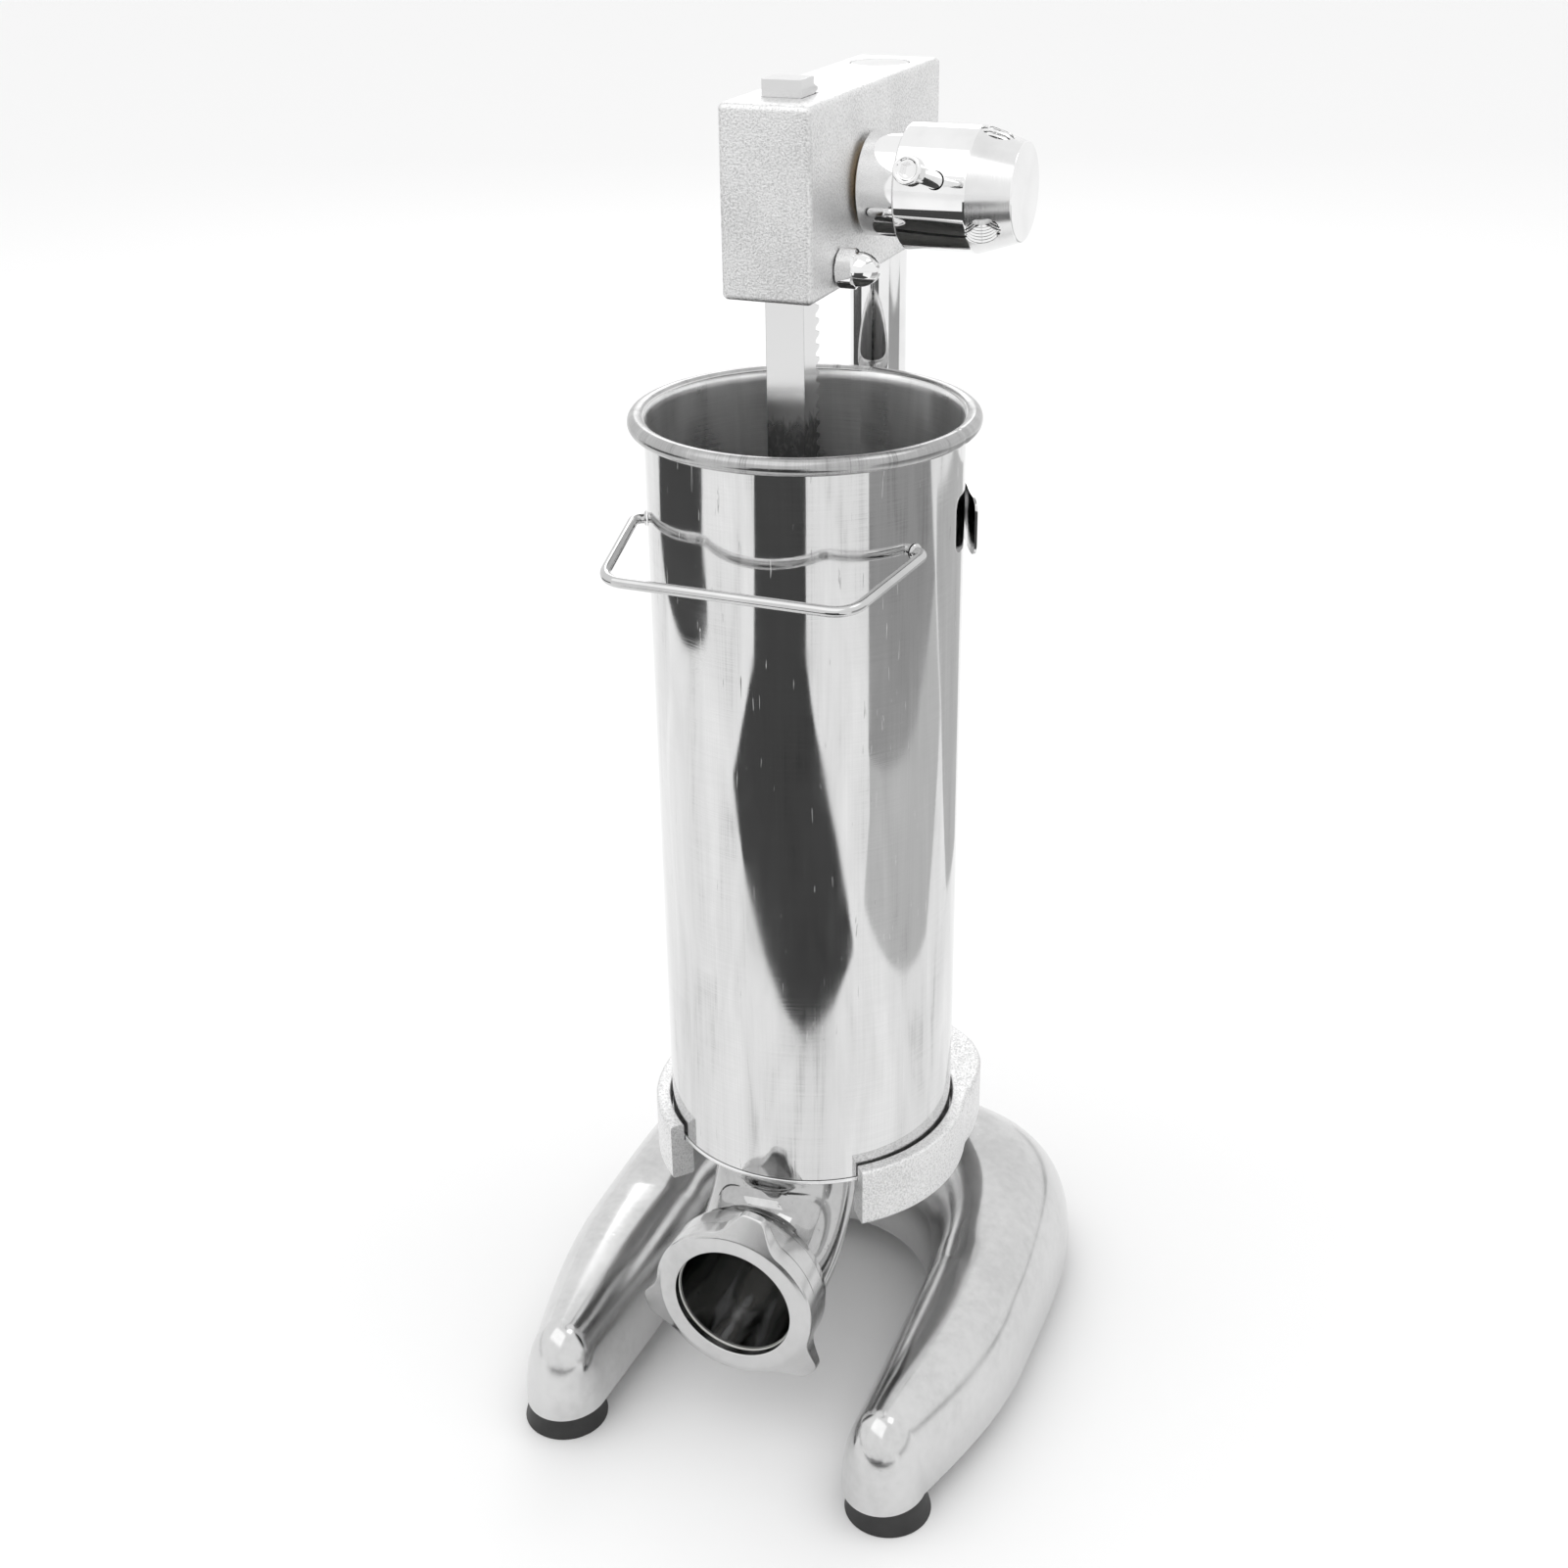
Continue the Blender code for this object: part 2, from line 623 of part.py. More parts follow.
def foot_places():
    """Name, x, y and boss top of each foot."""
    rear_x, rear_y, rear_roof = rear_foot_place()
    front_x = TOE_CENTRE_X + FOOT_OUTSET
    toe_half_width = (TOE_OUTER_X - ARCH_RADIUS - LEG_SPREAD) / 2
    toe_share = TOE_RIDGE_SHARE + (FOOT_BOSS_RADIUS + FOOT_OUTSET) / (2 * toe_half_width)
    front_roof = base_roof_z(0.0, toe_share)
    places = []
    for side, word in ((1, "right"), (-1, "left")):
        places.append((f"front_{word}", side * front_x, -LEG_LENGTH, front_roof))
        places.append((f"rear_{word}", side * rear_x, rear_y, rear_roof))
    return places


def build_base():
    """Hollow cast horseshoe with bosses for the feet and the column."""
    patches = []
    for side in (1, -1):
        outside = base_skin(0, side)
        inside = base_skin(SHELL_WALL, side)
        patches += outside + inside
        for outer_grid, inner_grid in zip(outside, inside):
            patches.append(np.stack([outer_grid[:, 0, :], inner_grid[:, 0, :]], axis=1))
    base = add_object("base_casting", welded_patches(patches), (0, 0, 0), UPWARD, polished_alloy)
    screw_hole = FOOT_SCREW_RADIUS + GAP
    hole_end = RIM_Z + FOOT_SCREW_GRIP
    for name, x, y, roof in foot_places():
        top = roof - SHELL_WALL / 3
        boss = lathe([
            (0, hole_end), (screw_hole, hole_end), (screw_hole, RIM_Z + GAP),
            (FOOT_BOSS_RADIUS, RIM_Z + GAP), (FOOT_BOSS_RADIUS, top), (0, top),
        ], SMALL_STEPS)
        add_cutter(base, f"foot_boss_{name}", boss, (x, y, 0), UPWARD, "UNION")
    bore = COLUMN_RADIUS + GAP
    boss_top = RING_BOTTOM_Z - GAP
    core = cylinder((bore + COLUMN_BOSS_RADIUS) / 2, COLUMN_BOSS_BOTTOM_Z + GAP, boss_top, ROUND_STEPS)
    add_cutter(base, "column_core", core, (0, COLUMN_Y, 0), UPWARD)
    stud_hole = STUD_RADIUS + GAP
    boss = lathe([
        (stud_hole, COLUMN_BOSS_BOTTOM_Z), (COLUMN_BOSS_RADIUS, COLUMN_BOSS_BOTTOM_Z),
        (COLUMN_BOSS_RADIUS, boss_top), (bore, boss_top), (bore, COLUMN_SHOULDER_Z),
        (stud_hole, COLUMN_SHOULDER_Z),
    ], ROUND_STEPS)
    add_cutter(base, "column_boss", boss, (0, COLUMN_Y, 0), UPWARD, "UNION")


def build_feet():
    """Flared rubber feet and their screws."""
    top = RIM_Z - GAP
    profile = [
        (FOOT_SCREW_RADIUS + GAP, top), (FOOT_SCREW_RADIUS + GAP, FOOT_RECESS_DEPTH),
        (FOOT_RECESS_RADIUS, FOOT_RECESS_DEPTH), (FOOT_RECESS_RADIUS, 0),
        (FOOT_RADIUS - FOOT_EDGE, 0), (FOOT_RADIUS, FOOT_EDGE), (FOOT_WAIST_RADIUS, FOOT_WAIST_Z),
        (FOOT_NECK_RADIUS, top),
    ]
    for name, x, y, _ in foot_places():
        add_object(f"foot_{name}", lathe(profile, ROUND_STEPS), (x, y, 0), UPWARD, black_rubber)
    head_top = FOOT_RECESS_DEPTH - GAP
    screw = [
        (0, head_top - FOOT_SCREW_HEAD_HEIGHT), (FOOT_SCREW_HEAD_RADIUS, head_top - FOOT_SCREW_HEAD_HEIGHT),
        (FOOT_SCREW_HEAD_RADIUS, head_top), (FOOT_SCREW_RADIUS, head_top),
        (FOOT_SCREW_RADIUS, RIM_Z + FOOT_SCREW_GRIP - GAP), (0, RIM_Z + FOOT_SCREW_GRIP - GAP),
    ]
    for name, x, y, _ in foot_places():
        add_object(f"foot_screw_{name}", lathe(screw, SCREW_STEPS), (x, y, 0), UPWARD, brushed_steel)


def build_column():
    """Upright column with a stud at its foot, held by a washer and a nut."""
    profile = [
        (0, STUD_END_Z), (STUD_RADIUS, STUD_END_Z), (STUD_RADIUS, COLUMN_SHOULDER_Z + GAP),
        (COLUMN_RADIUS, COLUMN_SHOULDER_Z + GAP), (COLUMN_RADIUS, COLUMN_TOP_Z - COLUMN_CHAMFER),
        (COLUMN_RADIUS - COLUMN_CHAMFER, COLUMN_TOP_Z), (0, COLUMN_TOP_Z),
    ]
    add_object("column", lathe(profile), (0, COLUMN_Y, 0), UPWARD, bright_steel)
    washer_top = COLUMN_BOSS_BOTTOM_Z - GAP
    washer = tube(STUD_RADIUS + GAP, WASHER_RADIUS, washer_top - WASHER_THICKNESS, washer_top, ROUND_STEPS)
    add_object("column_washer", washer, (0, COLUMN_Y, 0), UPWARD, brushed_steel)
    nut_top = washer_top - WASHER_THICKNESS - GAP
    nut_shape = prism(hexagon(COLUMN_NUT_FLATS), nut_top - COLUMN_NUT_HEIGHT, nut_top)
    nut = add_object("column_nut", nut_shape, (0, COLUMN_Y, 0), UPWARD, brushed_steel)
    hole = cylinder(STUD_RADIUS + GAP, nut_top - COLUMN_NUT_HEIGHT - OVERRUN, nut_top + OVERRUN, ROUND_STEPS)
    add_cutter(nut, "column_nut_bore", hole, (0, COLUMN_Y, 0), UPWARD)


def ring_outline():
    """Plan of the ring bracket: open at the front, widening to a boss round the column."""
    end = -math.pi / 2 + RING_OPENING_HALF_ANGLE
    right = arc((0, 0), RING_OUTER_RADIUS, end, RING_SHOULDER_ANGLE, 16)
    right += [(x * RING_OUTER_RADIUS, y * RING_OUTER_RADIUS) for x, y in RING_SHOULDER_SHARES]
    boss = arc((0, COLUMN_Y), RING_BOSS_RADIUS, RING_BOSS_START, math.pi - RING_BOSS_START, 16)
    left = [(-x, y) for x, y in reversed(right)]
    inner = arc((0, 0), RING_LEDGE_RADIUS, math.pi - end, end, 36)
    return right + boss + left + inner


def build_ring_bracket():
    """Sand-cast ring that carries the barrel on a ledge."""
    shape = prism(ring_outline(), RING_BOTTOM_Z, RING_TOP_Z)
    ring = add_object("ring_bracket", shape, (0, 0, 0), UPWARD, sand_cast_alloy)
    bevel_edges(ring, RING_EDGE, 1)
    seat = cylinder(RING_INNER_RADIUS, BARREL_FOOT_Z - GAP, RING_TOP_Z + OVERRUN, FINE_STEPS)
    add_cutter(ring, "barrel_seat", seat, (0, 0, 0), UPWARD)
    bore = cylinder(COLUMN_RADIUS + GAP, RING_BOTTOM_Z - OVERRUN, RING_TOP_Z + OVERRUN, ROUND_STEPS)
    add_cutter(ring, "ring_column_bore", bore, (0, COLUMN_Y, 0), UPWARD)
    drill_set_screw(ring, "ring_set_screw_hole", (RING_BOTTOM_Z + RING_TOP_Z) / 2)


def drill_set_screw(target, name, z):
    """Threaded hole from the back through to the column."""
    length = SET_SCREW_LENGTH + OVERRUN + OVERRUN
    hole = cylinder(SET_SCREW_RADIUS + GAP, 0, length)
    add_cutter(target, name, hole, (0, COLUMN_Y + COLUMN_RADIUS - OVERRUN, z), BACKWARD)


def build_set_screws():
    """Alike screws that hold the ring, the band's collar and the gear block on the column."""
    profile = [
        (0, 0), (SET_SCREW_RADIUS, 0), (SET_SCREW_RADIUS, SET_SCREW_LENGTH),
        (SET_SCREW_SOCKET_RADIUS, SET_SCREW_LENGTH),
        (SET_SCREW_SOCKET_RADIUS, SET_SCREW_LENGTH - SET_SCREW_SOCKET_DEPTH),
        (0, SET_SCREW_LENGTH - SET_SCREW_SOCKET_DEPTH),
    ]
    heights = {
        "ring": (RING_BOTTOM_Z + RING_TOP_Z) / 2,
        "collar": BAND_BOTTOM_Z + BAND_HEIGHT / 2,
        "block": (BLOCK_BOTTOM_Z + COLUMN_TOP_Z) / 2,
    }
    for held, z in heights.items():
        place = (0, SET_SCREW_START_Y, z)
        add_object(f"set_screw_{held}", lathe(profile, SCREW_STEPS), place, BACKWARD, brushed_steel)


def build_barrel():
    """Thin steel barrel with a rolled rim."""
    bead_radius = BARREL_RADIUS - BARREL_WALL / 2 + BEAD_RADIUS
    foot_z = BARREL_FOOT_Z + PLATE_LIP_HEIGHT + GAP
    start = math.pi + math.acos((bead_radius - BARREL_RADIUS) / BEAD_RADIUS)
    bead = arc((bead_radius, RIM_CENTRE_Z), BEAD_RADIUS, start, 2.75 * math.pi, 8)
    profile = [(BARREL_BORE_RADIUS, foot_z), (BARREL_RADIUS, foot_z)]
    profile += bead + [(BARREL_BORE_RADIUS, RIM_CENTRE_Z + BARREL_WALL)]
    add_object("barrel", lathe(profile, FINE_STEPS), (0, 0, 0), UPWARD, brushed_steel)


def build_barrel_bottom():
    """Foot plate inside the barrel, with the hole that leads to the outlet."""
    lip_radius = BARREL_RADIUS + PLATE_LIP
    spigot_radius = BARREL_BORE_RADIUS - GAP
    profile = [
        (0, BARREL_FOOT_Z), (lip_radius, BARREL_FOOT_Z), (lip_radius, BARREL_FOOT_Z + PLATE_LIP_HEIGHT),
        (spigot_radius, BARREL_FOOT_Z + PLATE_LIP_HEIGHT), (spigot_radius, PLATE_TOP_Z), (0, PLATE_TOP_Z),
    ]
    plate = add_object("barrel_bottom", lathe(profile, FINE_STEPS), (0, 0, 0), UPWARD, brushed_steel)
    hole = cylinder(ELBOW_BORE_RADIUS, BARREL_FOOT_Z - OVERRUN, PLATE_TOP_Z + OVERRUN, ROUND_STEPS)
    add_cutter(plate, "outlet_hole", hole, (0, -OUTLET_OFFSET, 0), UPWARD)


def elbow_station(distance):
    """Centre and forward direction of the outlet at a distance below the barrel."""
    straight = ELBOW_TOP_Z - OUTLET_AXIS_Z - ELBOW_BEND_RADIUS
    if distance <= straight:
        return Vector((0, -OUTLET_OFFSET, ELBOW_TOP_Z - distance)), Vector((0, 0, -1))
    turn = min((distance - straight) / ELBOW_BEND_RADIUS, math.pi / 2)
    centre = Vector((0, ELBOW_BEND_END_Y, OUTLET_AXIS_Z + ELBOW_BEND_RADIUS))
    point = centre + ELBOW_BEND_RADIUS * Vector((0, math.cos(turn), -math.sin(turn)))
    ahead = Vector((0, -math.sin(turn), -math.cos(turn)))
    beyond = distance - straight - ELBOW_BEND_RADIUS * math.pi / 2
    if beyond > 0:
        point = point + ahead * beyond
    return point, ahead


def build_elbow():
    """Cast outlet that turns from the barrel's bottom to the front."""
    straight = ELBOW_TOP_Z - OUTLET_AXIS_Z - ELBOW_BEND_RADIUS
    bend = ELBOW_BEND_RADIUS * math.pi / 2
    collar_end = straight + bend + ELBOW_COLLAR_LENGTH
    end = collar_end + SPIGOT_LENGTH
    collar_radius = ELBOW_RADIUS + ELBOW_COLLAR_RISE
    curve = [straight + bend * step / 8 for step in range(9)]
    outer = [(0, ELBOW_RADIUS)] + [(distance, ELBOW_RADIUS) for distance in curve]
    outer += [(straight + bend + ELBOW_COLLAR_RISE, collar_radius), (collar_end, collar_radius)]
    outer += [(collar_end, ELBOW_RADIUS), (end, ELBOW_RADIUS)]
    inner = [(end, ELBOW_BORE_RADIUS)] + [(distance, ELBOW_BORE_RADIUS) for distance in reversed(curve)]
    inner += [(0, ELBOW_BORE_RADIUS)]
    stations = []
    for distance, radius in outer + inner:
        centre, ahead = elbow_station(distance)
        stations.append((centre, ahead, Vector((1, 0, 0)), radius))
    shape, rings = swept_tube(stations, ROUND_STEPS)
    for first, second in zip(rings, rings[1:] + rings[:1]):
        bridge_rings(shape, first, second, ROUND_STEPS)
    bmesh.ops.recalc_face_normals(shape, faces=shape.faces)
    add_object("outlet_elbow", shape, (0, 0, 0), UPWARD, polished_alloy)


def lobe_reach(angle):
    """Radius of the nut's grip plate at an angle: three lobes with hollow flanks."""
    root = NUT_RADIUS + LOBE_ROOT_RISE
    reach = root
    for lobe_angle in LOBE_ANGLES:
        away = abs((angle - lobe_angle + math.pi) % (2 * math.pi) - math.pi)
        slope = (away - LOBE_TIP_HALF_ANGLE) / (LOBE_HALF_ANGLE - LOBE_TIP_HALF_ANGLE)
        share = (1 - min(max(slope, 0.0), 1.0)) ** 2
        reach = max(reach, root + (LOBE_RADIUS - root) * share)
    return reach


def build_nozzle_nut(parent):
    """Three-lobed nut that clamps the nozzle ring on the outlet's spigot."""
    front, back = NUT_LENGTH, 0
    steps = NUT_STEPS
    slope = LOBE_DROP / (LOBE_RADIUS - NUT_FACE_RADIUS)
    plate_back = front - LOBE_DROP - LOBE_THICKNESS
    rings = []
    shape = bmesh.new()
    for step in range(steps):
        angle = 2 * math.pi * step / steps
        reach = lobe_reach(angle)
        rim_front = front - slope * (reach - NUT_FACE_RADIUS)
        profile = [
            (NUT_MOUTH_RADIUS, front), (NUT_FACE_RADIUS, front), (reach, rim_front), (reach, plate_back),
            (NUT_RADIUS, plate_back), (NUT_RADIUS, back), (NUT_THREAD_RADIUS, back),
            (NUT_THREAD_RADIUS, NUT_DEPTH), (NUT_MOUTH_RADIUS, NUT_DEPTH),
        ]
        across = (math.cos(angle), math.sin(angle))
        rings.append([shape.verts.new((r * across[0], r * across[1], z)) for r, z in profile])
    for first, second in zip(rings, rings[1:] + rings[:1]):
        bridge_rings(shape, first, second, len(first))
    bmesh.ops.recalc_face_normals(shape, faces=shape.faces)
    place = (0, NUT_BACK_Y, OUTLET_AXIS_Z)
    add_object("nozzle_nut", shape, place, FRONTWARD, polished_alloy, parent)


def build_nozzle_ring(parent):
    """Flat ring between the outlet's end and the nut's face."""
    ring = tube(NUT_MOUTH_RADIUS, ELBOW_RADIUS, 0, NOZZLE_RING_THICKNESS)
    add_object("nozzle_ring", ring, (0, NOZZLE_RING_Y, OUTLET_AXIS_Z), FRONTWARD, white_plastic, parent)


def build_handle():
    """Wire loop at the barrel's front, with its ends turned in to the wall."""
    end_reach = BARREL_RADIUS + GAP
    stand_reach = end_reach + HANDLE_END_STAND
    across = (math.cos(HANDLE_END_ANGLE), -math.sin(HANDLE_END_ANGLE))
    end = Vector((end_reach * across[0], end_reach * across[1], HANDLE_Z))
    turn = Vector((stand_reach * across[0], stand_reach * across[1], HANDLE_Z))
    corner = Vector((HANDLE_HALF_WIDTH, -HANDLE_REACH, HANDLE_Z - HANDLE_DROP))
    mirrored = [Vector((-point.x, point.y, point.z)) for point in (corner, turn, end)]
    radii = [HANDLE_END_RADIUS, HANDLE_CORNER_RADIUS, HANDLE_CORNER_RADIUS, HANDLE_END_RADIUS]
    route = rounded_route([end, turn, corner] + mirrored, radii, 4)
    add_object("wire_handle", rod_along(route, WIRE_RADIUS, 10), (0, 0, 0), UPWARD, bright_steel)


def build_band():
    """Spring band round the barrel's back, with flared ends."""
    turns = np.linspace(BAND_END_ANGLE, math.pi - BAND_END_ANGLE, 41)
    from_end = np.minimum(turns - BAND_END_ANGLE, math.pi - BAND_END_ANGLE - turns)
    flare = BAND_FLARE * np.clip(1 - from_end / BAND_FLARE_ANGLE, 0, 1) ** 2
    inner = BAND_INNER_RADIUS + flare
    outer = inner + BAND_THICKNESS
    outline = [(r * math.cos(a), r * math.sin(a)) for r, a in zip(outer, turns)]
    outline += [(r * math.cos(a), r * math.sin(a)) for r, a in reversed(list(zip(inner, turns)))]
    top = BAND_BOTTOM_Z + BAND_HEIGHT
    add_object("steady_band", prism(outline, BAND_BOTTOM_Z, top), (0, 0, 0), UPWARD, bright_steel)
    reach = COLUMN_RADIUS + GAP + SET_SCREW_LENGTH
    ring = tube(COLUMN_RADIUS + GAP, reach, BAND_BOTTOM_Z, top)
    collar = add_object("band_collar", ring, (0, COLUMN_Y, 0), UPWARD, sand_cast_alloy)
    seat_radius = BAND_INNER_RADIUS + BAND_THICKNESS + GAP
    seat = cylinder(seat_radius, BAND_BOTTOM_Z - OVERRUN, top + OVERRUN, FINE_STEPS)
    add_cutter(collar, "band_seat", seat, (0, 0, 0), UPWARD)
    drill_set_screw(collar, "band_set_screw_hole", BAND_BOTTOM_Z + BAND_HEIGHT / 2)


def cover_box():
    """Low and high (y, z) of the cover on the block's left side."""
    low_z = BLOCK_BOTTOM_Z + COVER_MARGIN
    high_z = COLUMN_TOP_Z - COVER_MARGIN
    return CRANK_AXIS_Y - COVER_FRONT_REACH, CRANK_AXIS_Y + COVER_REAR_REACH, low_z, high_z


def cover_screw_places():
    """Places (y, z) of the four screws in the cover's corners."""
    low_y, high_y, low_z, high_z = cover_box()
    inset = COVER_SCREW_INSET
    return [(y, z) for y in (low_y + inset, high_y - inset) for z in (low_z + inset, high_z - inset)]


def build_block():
    """Sand-cast block that guides the rack and houses the pinion."""
    low = (-BLOCK_HALF_WIDTH, BLOCK_FRONT_Y, BLOCK_BOTTOM_Z)
    high = (BLOCK_HALF_WIDTH, BLOCK_BACK_Y, COLUMN_TOP_Z)
    block = add_object("gear_block", box(low, high), (0, 0, 0), UPWARD, sand_cast_alloy)
    bevel_edges(block, BLOCK_EDGE, 2)
    side = RACK_WIDTH / 2 + GAP
    low = (-side, RACK_FRONT_Y - GAP, BLOCK_BOTTOM_Z - OVERRUN)
    high = (side, RACK_TIP_Y + GAP, COLUMN_TOP_Z + OVERRUN)
    add_cutter(block, "rack_channel", box(low, high), (0, 0, 0), UPWARD)
    bore = cylinder(COLUMN_RADIUS + GAP, BLOCK_BOTTOM_Z - OVERRUN, COLUMN_TOP_Z + OVERRUN, ROUND_STEPS)
    add_cutter(block, "block_column_bore", bore, (0, COLUMN_Y, 0), UPWARD)
    gib = cylinder(GIB_RADIUS + GAP, 0, BLOCK_HALF_WIDTH + OVERRUN)
    add_cutter(block, "gib_bore", gib, (0, GIB_Y, GIB_Z), RIGHTWARD)
    drill_set_screw(block, "block_set_screw_hole", (BLOCK_BOTTOM_Z + COLUMN_TOP_Z) / 2)
    for index, (y, z) in enumerate(cover_screw_places()):
        hole = cylinder(COVER_SCREW_RADIUS + GAP, -OVERRUN, COVER_SCREW_GRIP + GAP, SCREW_STEPS)
        add_cutter(block, f"cover_hole_{index}", hole, (-BLOCK_HALF_WIDTH, y, z), RIGHTWARD)
    pocket = cylinder(TIP_RADIUS + POCKET_CLEARANCE, -BLOCK_HALF_WIDTH - OVERRUN, BLOCK_WALL_X, ROUND_STEPS)
    add_cutter(block, "pinion_pocket", pocket, (0, CRANK_AXIS_Y, CRANK_AXIS_Z), RIGHTWARD)
    wall = cylinder(BUSH_RADIUS + GAP, 0, BLOCK_HALF_WIDTH + OVERRUN, ROUND_STEPS)
    add_cutter(block, "bush_bore", wall, (0, CRANK_AXIS_Y, CRANK_AXIS_Z), RIGHTWARD)


def build_cover():
    """Plate over the pinion's pocket, and its screws."""
    low_y, high_y, low_z, high_z = cover_box()
    right_x = -BLOCK_HALF_WIDTH - GAP
    left_x = right_x - COVER_THICKNESS
    plate = box((left_x, low_y, low_z), (right_x, high_y, high_z))
    cover = add_object("block_cover", plate, (0, 0, 0), UPWARD, brushed_steel)
    bore = cylinder(BUSH_RADIUS + GAP, left_x - OVERRUN, right_x + OVERRUN, ROUND_STEPS)
    add_cutter(cover, "cover_bush_bore", bore, (0, CRANK_AXIS_Y, CRANK_AXIS_Z), RIGHTWARD)
    screw = [
        (0, -GAP - COVER_SCREW_HEAD_HEIGHT), (COVER_SCREW_HEAD_RADIUS, -GAP - COVER_SCREW_HEAD_HEIGHT),
        (COVER_SCREW_HEAD_RADIUS, -GAP), (COVER_SCREW_RADIUS, -GAP),
        (COVER_SCREW_RADIUS, COVER_THICKNESS + GAP + COVER_SCREW_GRIP),
        (0, COVER_THICKNESS + GAP + COVER_SCREW_GRIP),
    ]
    for index, (y, z) in enumerate(cover_screw_places()):
        hole = cylinder(COVER_SCREW_RADIUS + GAP, left_x - OVERRUN, right_x + OVERRUN, SCREW_STEPS)
        add_cutter(cover, f"cover_clearance_{index}", hole, (0, y, z), RIGHTWARD)
        name = f"cover_screw_{index + 1}"
        add_object(name, lathe(screw, SCREW_STEPS), (left_x, y, z), RIGHTWARD, brushed_steel)


def build_bushes():
    """Flanged bronze bushes for the shaft, one in the wall and one in the cover."""
    inner = SHAFT_RADIUS + GAP
    flange_x = BLOCK_HALF_WIDTH + GAP
    profile = [
        (inner, BLOCK_WALL_X), (BUSH_RADIUS, BLOCK_WALL_X), (BUSH_RADIUS, flange_x),
        (BUSH_FLANGE_RADIUS, flange_x), (BUSH_FLANGE_RADIUS, flange_x + BUSH_FLANGE),
        (inner, flange_x + BUSH_FLANGE),
    ]
    place = (0, CRANK_AXIS_Y, CRANK_AXIS_Z)
    add_object("bush_right", lathe(profile), place, RIGHTWARD, bronze)
    flange_x = BLOCK_HALF_WIDTH + GAP + COVER_THICKNESS + GAP
    profile = [
        (inner, -BLOCK_WALL_X), (inner, -flange_x - BUSH_FLANGE),
        (BUSH_FLANGE_RADIUS, -flange_x - BUSH_FLANGE), (BUSH_FLANGE_RADIUS, -flange_x),
        (BUSH_RADIUS, -flange_x), (BUSH_RADIUS, -BLOCK_WALL_X),
    ]
    add_object("bush_left", lathe(profile), place, RIGHTWARD, bronze)


def involute(angle):
    """How far an involute has turned at a pressure angle."""
    return math.tan(angle) - angle


def pinion_outline():
    """Outline of the pinion in the (y, z) plane, with one tooth pointing to the rack."""
    base_radius = PITCH_RADIUS * math.cos(PRESSURE_ANGLE)
    root_radius = PITCH_RADIUS - MODULE * (1 + ROOT_CLEARANCE_SHARE)
    half_tooth = math.pi / (2 * PINION_TEETH) - BACKLASH / (2 * PITCH_RADIUS)
    flank_start = max(base_radius, root_radius)
    flank = []
    for step in range(3):
        radius = flank_start + (TIP_RADIUS - flank_start) * step / 2
        pressure = math.acos(min(base_radius / radius, 1.0))
        flank.append((radius, half_tooth + involute(PRESSURE_ANGLE) - involute(pressure)))
    foot = [(root_radius, flank[0][1])] if root_radius < flank_start else []
    outline = []
    for tooth in range(PINION_TEETH):
        middle = math.pi + 2 * math.pi * tooth / PINION_TEETH
        side = foot + flank
        for radius, half in side:
            outline.append((radius * math.cos(middle - half), radius * math.sin(middle - half)))
        for radius, half in reversed(side):
            outline.append((radius * math.cos(middle + half), radius * math.sin(middle + half)))
    return outline


def build_shaft(parent):
    """Shaft with the pinion cut on it, and the ring that keeps it in."""
    place = (0, CRANK_AXIS_Y, CRANK_AXIS_Z)
    ring_x = -BLOCK_HALF_WIDTH - GAP - COVER_THICKNESS - GAP - BUSH_FLANGE - GAP
    groove = SHAFT_RADIUS - SHAFT_GROOVE_DEPTH
    groove_end = ring_x - SHAFT_RING_THICKNESS - GAP
    shaft = lathe([
        (0, -SHAFT_LEFT_LENGTH), (SHAFT_RADIUS, -SHAFT_LEFT_LENGTH), (SHAFT_RADIUS, groove_end),
        (groove, groove_end), (groove, ring_x + GAP), (SHAFT_RADIUS, ring_x + GAP),
        (SHAFT_RADIUS, SHAFT_END_X), (0, SHAFT_END_X),
    ])
    item = add_object("pinion_shaft", shaft, place, RIGHTWARD, brushed_steel, parent)
    gear = prism(pinion_outline(), -PINION_WIDTH / 2, PINION_WIDTH / 2)
    add_cutter(item, "pinion_teeth", gear, place, RIGHTWARD, "UNION")
    ring = tube(groove + GAP, SHAFT_RADIUS + SHAFT_RING_WALL, ring_x - SHAFT_RING_THICKNESS, ring_x)
    add_object("shaft_ring", ring, place, RIGHTWARD, brushed_steel, parent)


def radial_direction(angle, lean):
    """Unit direction from the crank axis, at an angle above the front, leaning to the right."""
    outward = Vector((0, -math.cos(angle), math.sin(angle)))
    return (outward * math.cos(lean) + Vector((1, 0, 0)) * math.sin(lean)).normalized()


def facing_along(direction):
    """Rotation that turns Z to a direction."""
    return direction.to_track_quat("Z", "Y").to_matrix()


def hub_screw_x():
    """Distance along the crank axis of the hub's clamping screw."""
    return HUB_BODY_X + HUB_BODY_LENGTH * HUB_SCREW_PLACE_SHARE


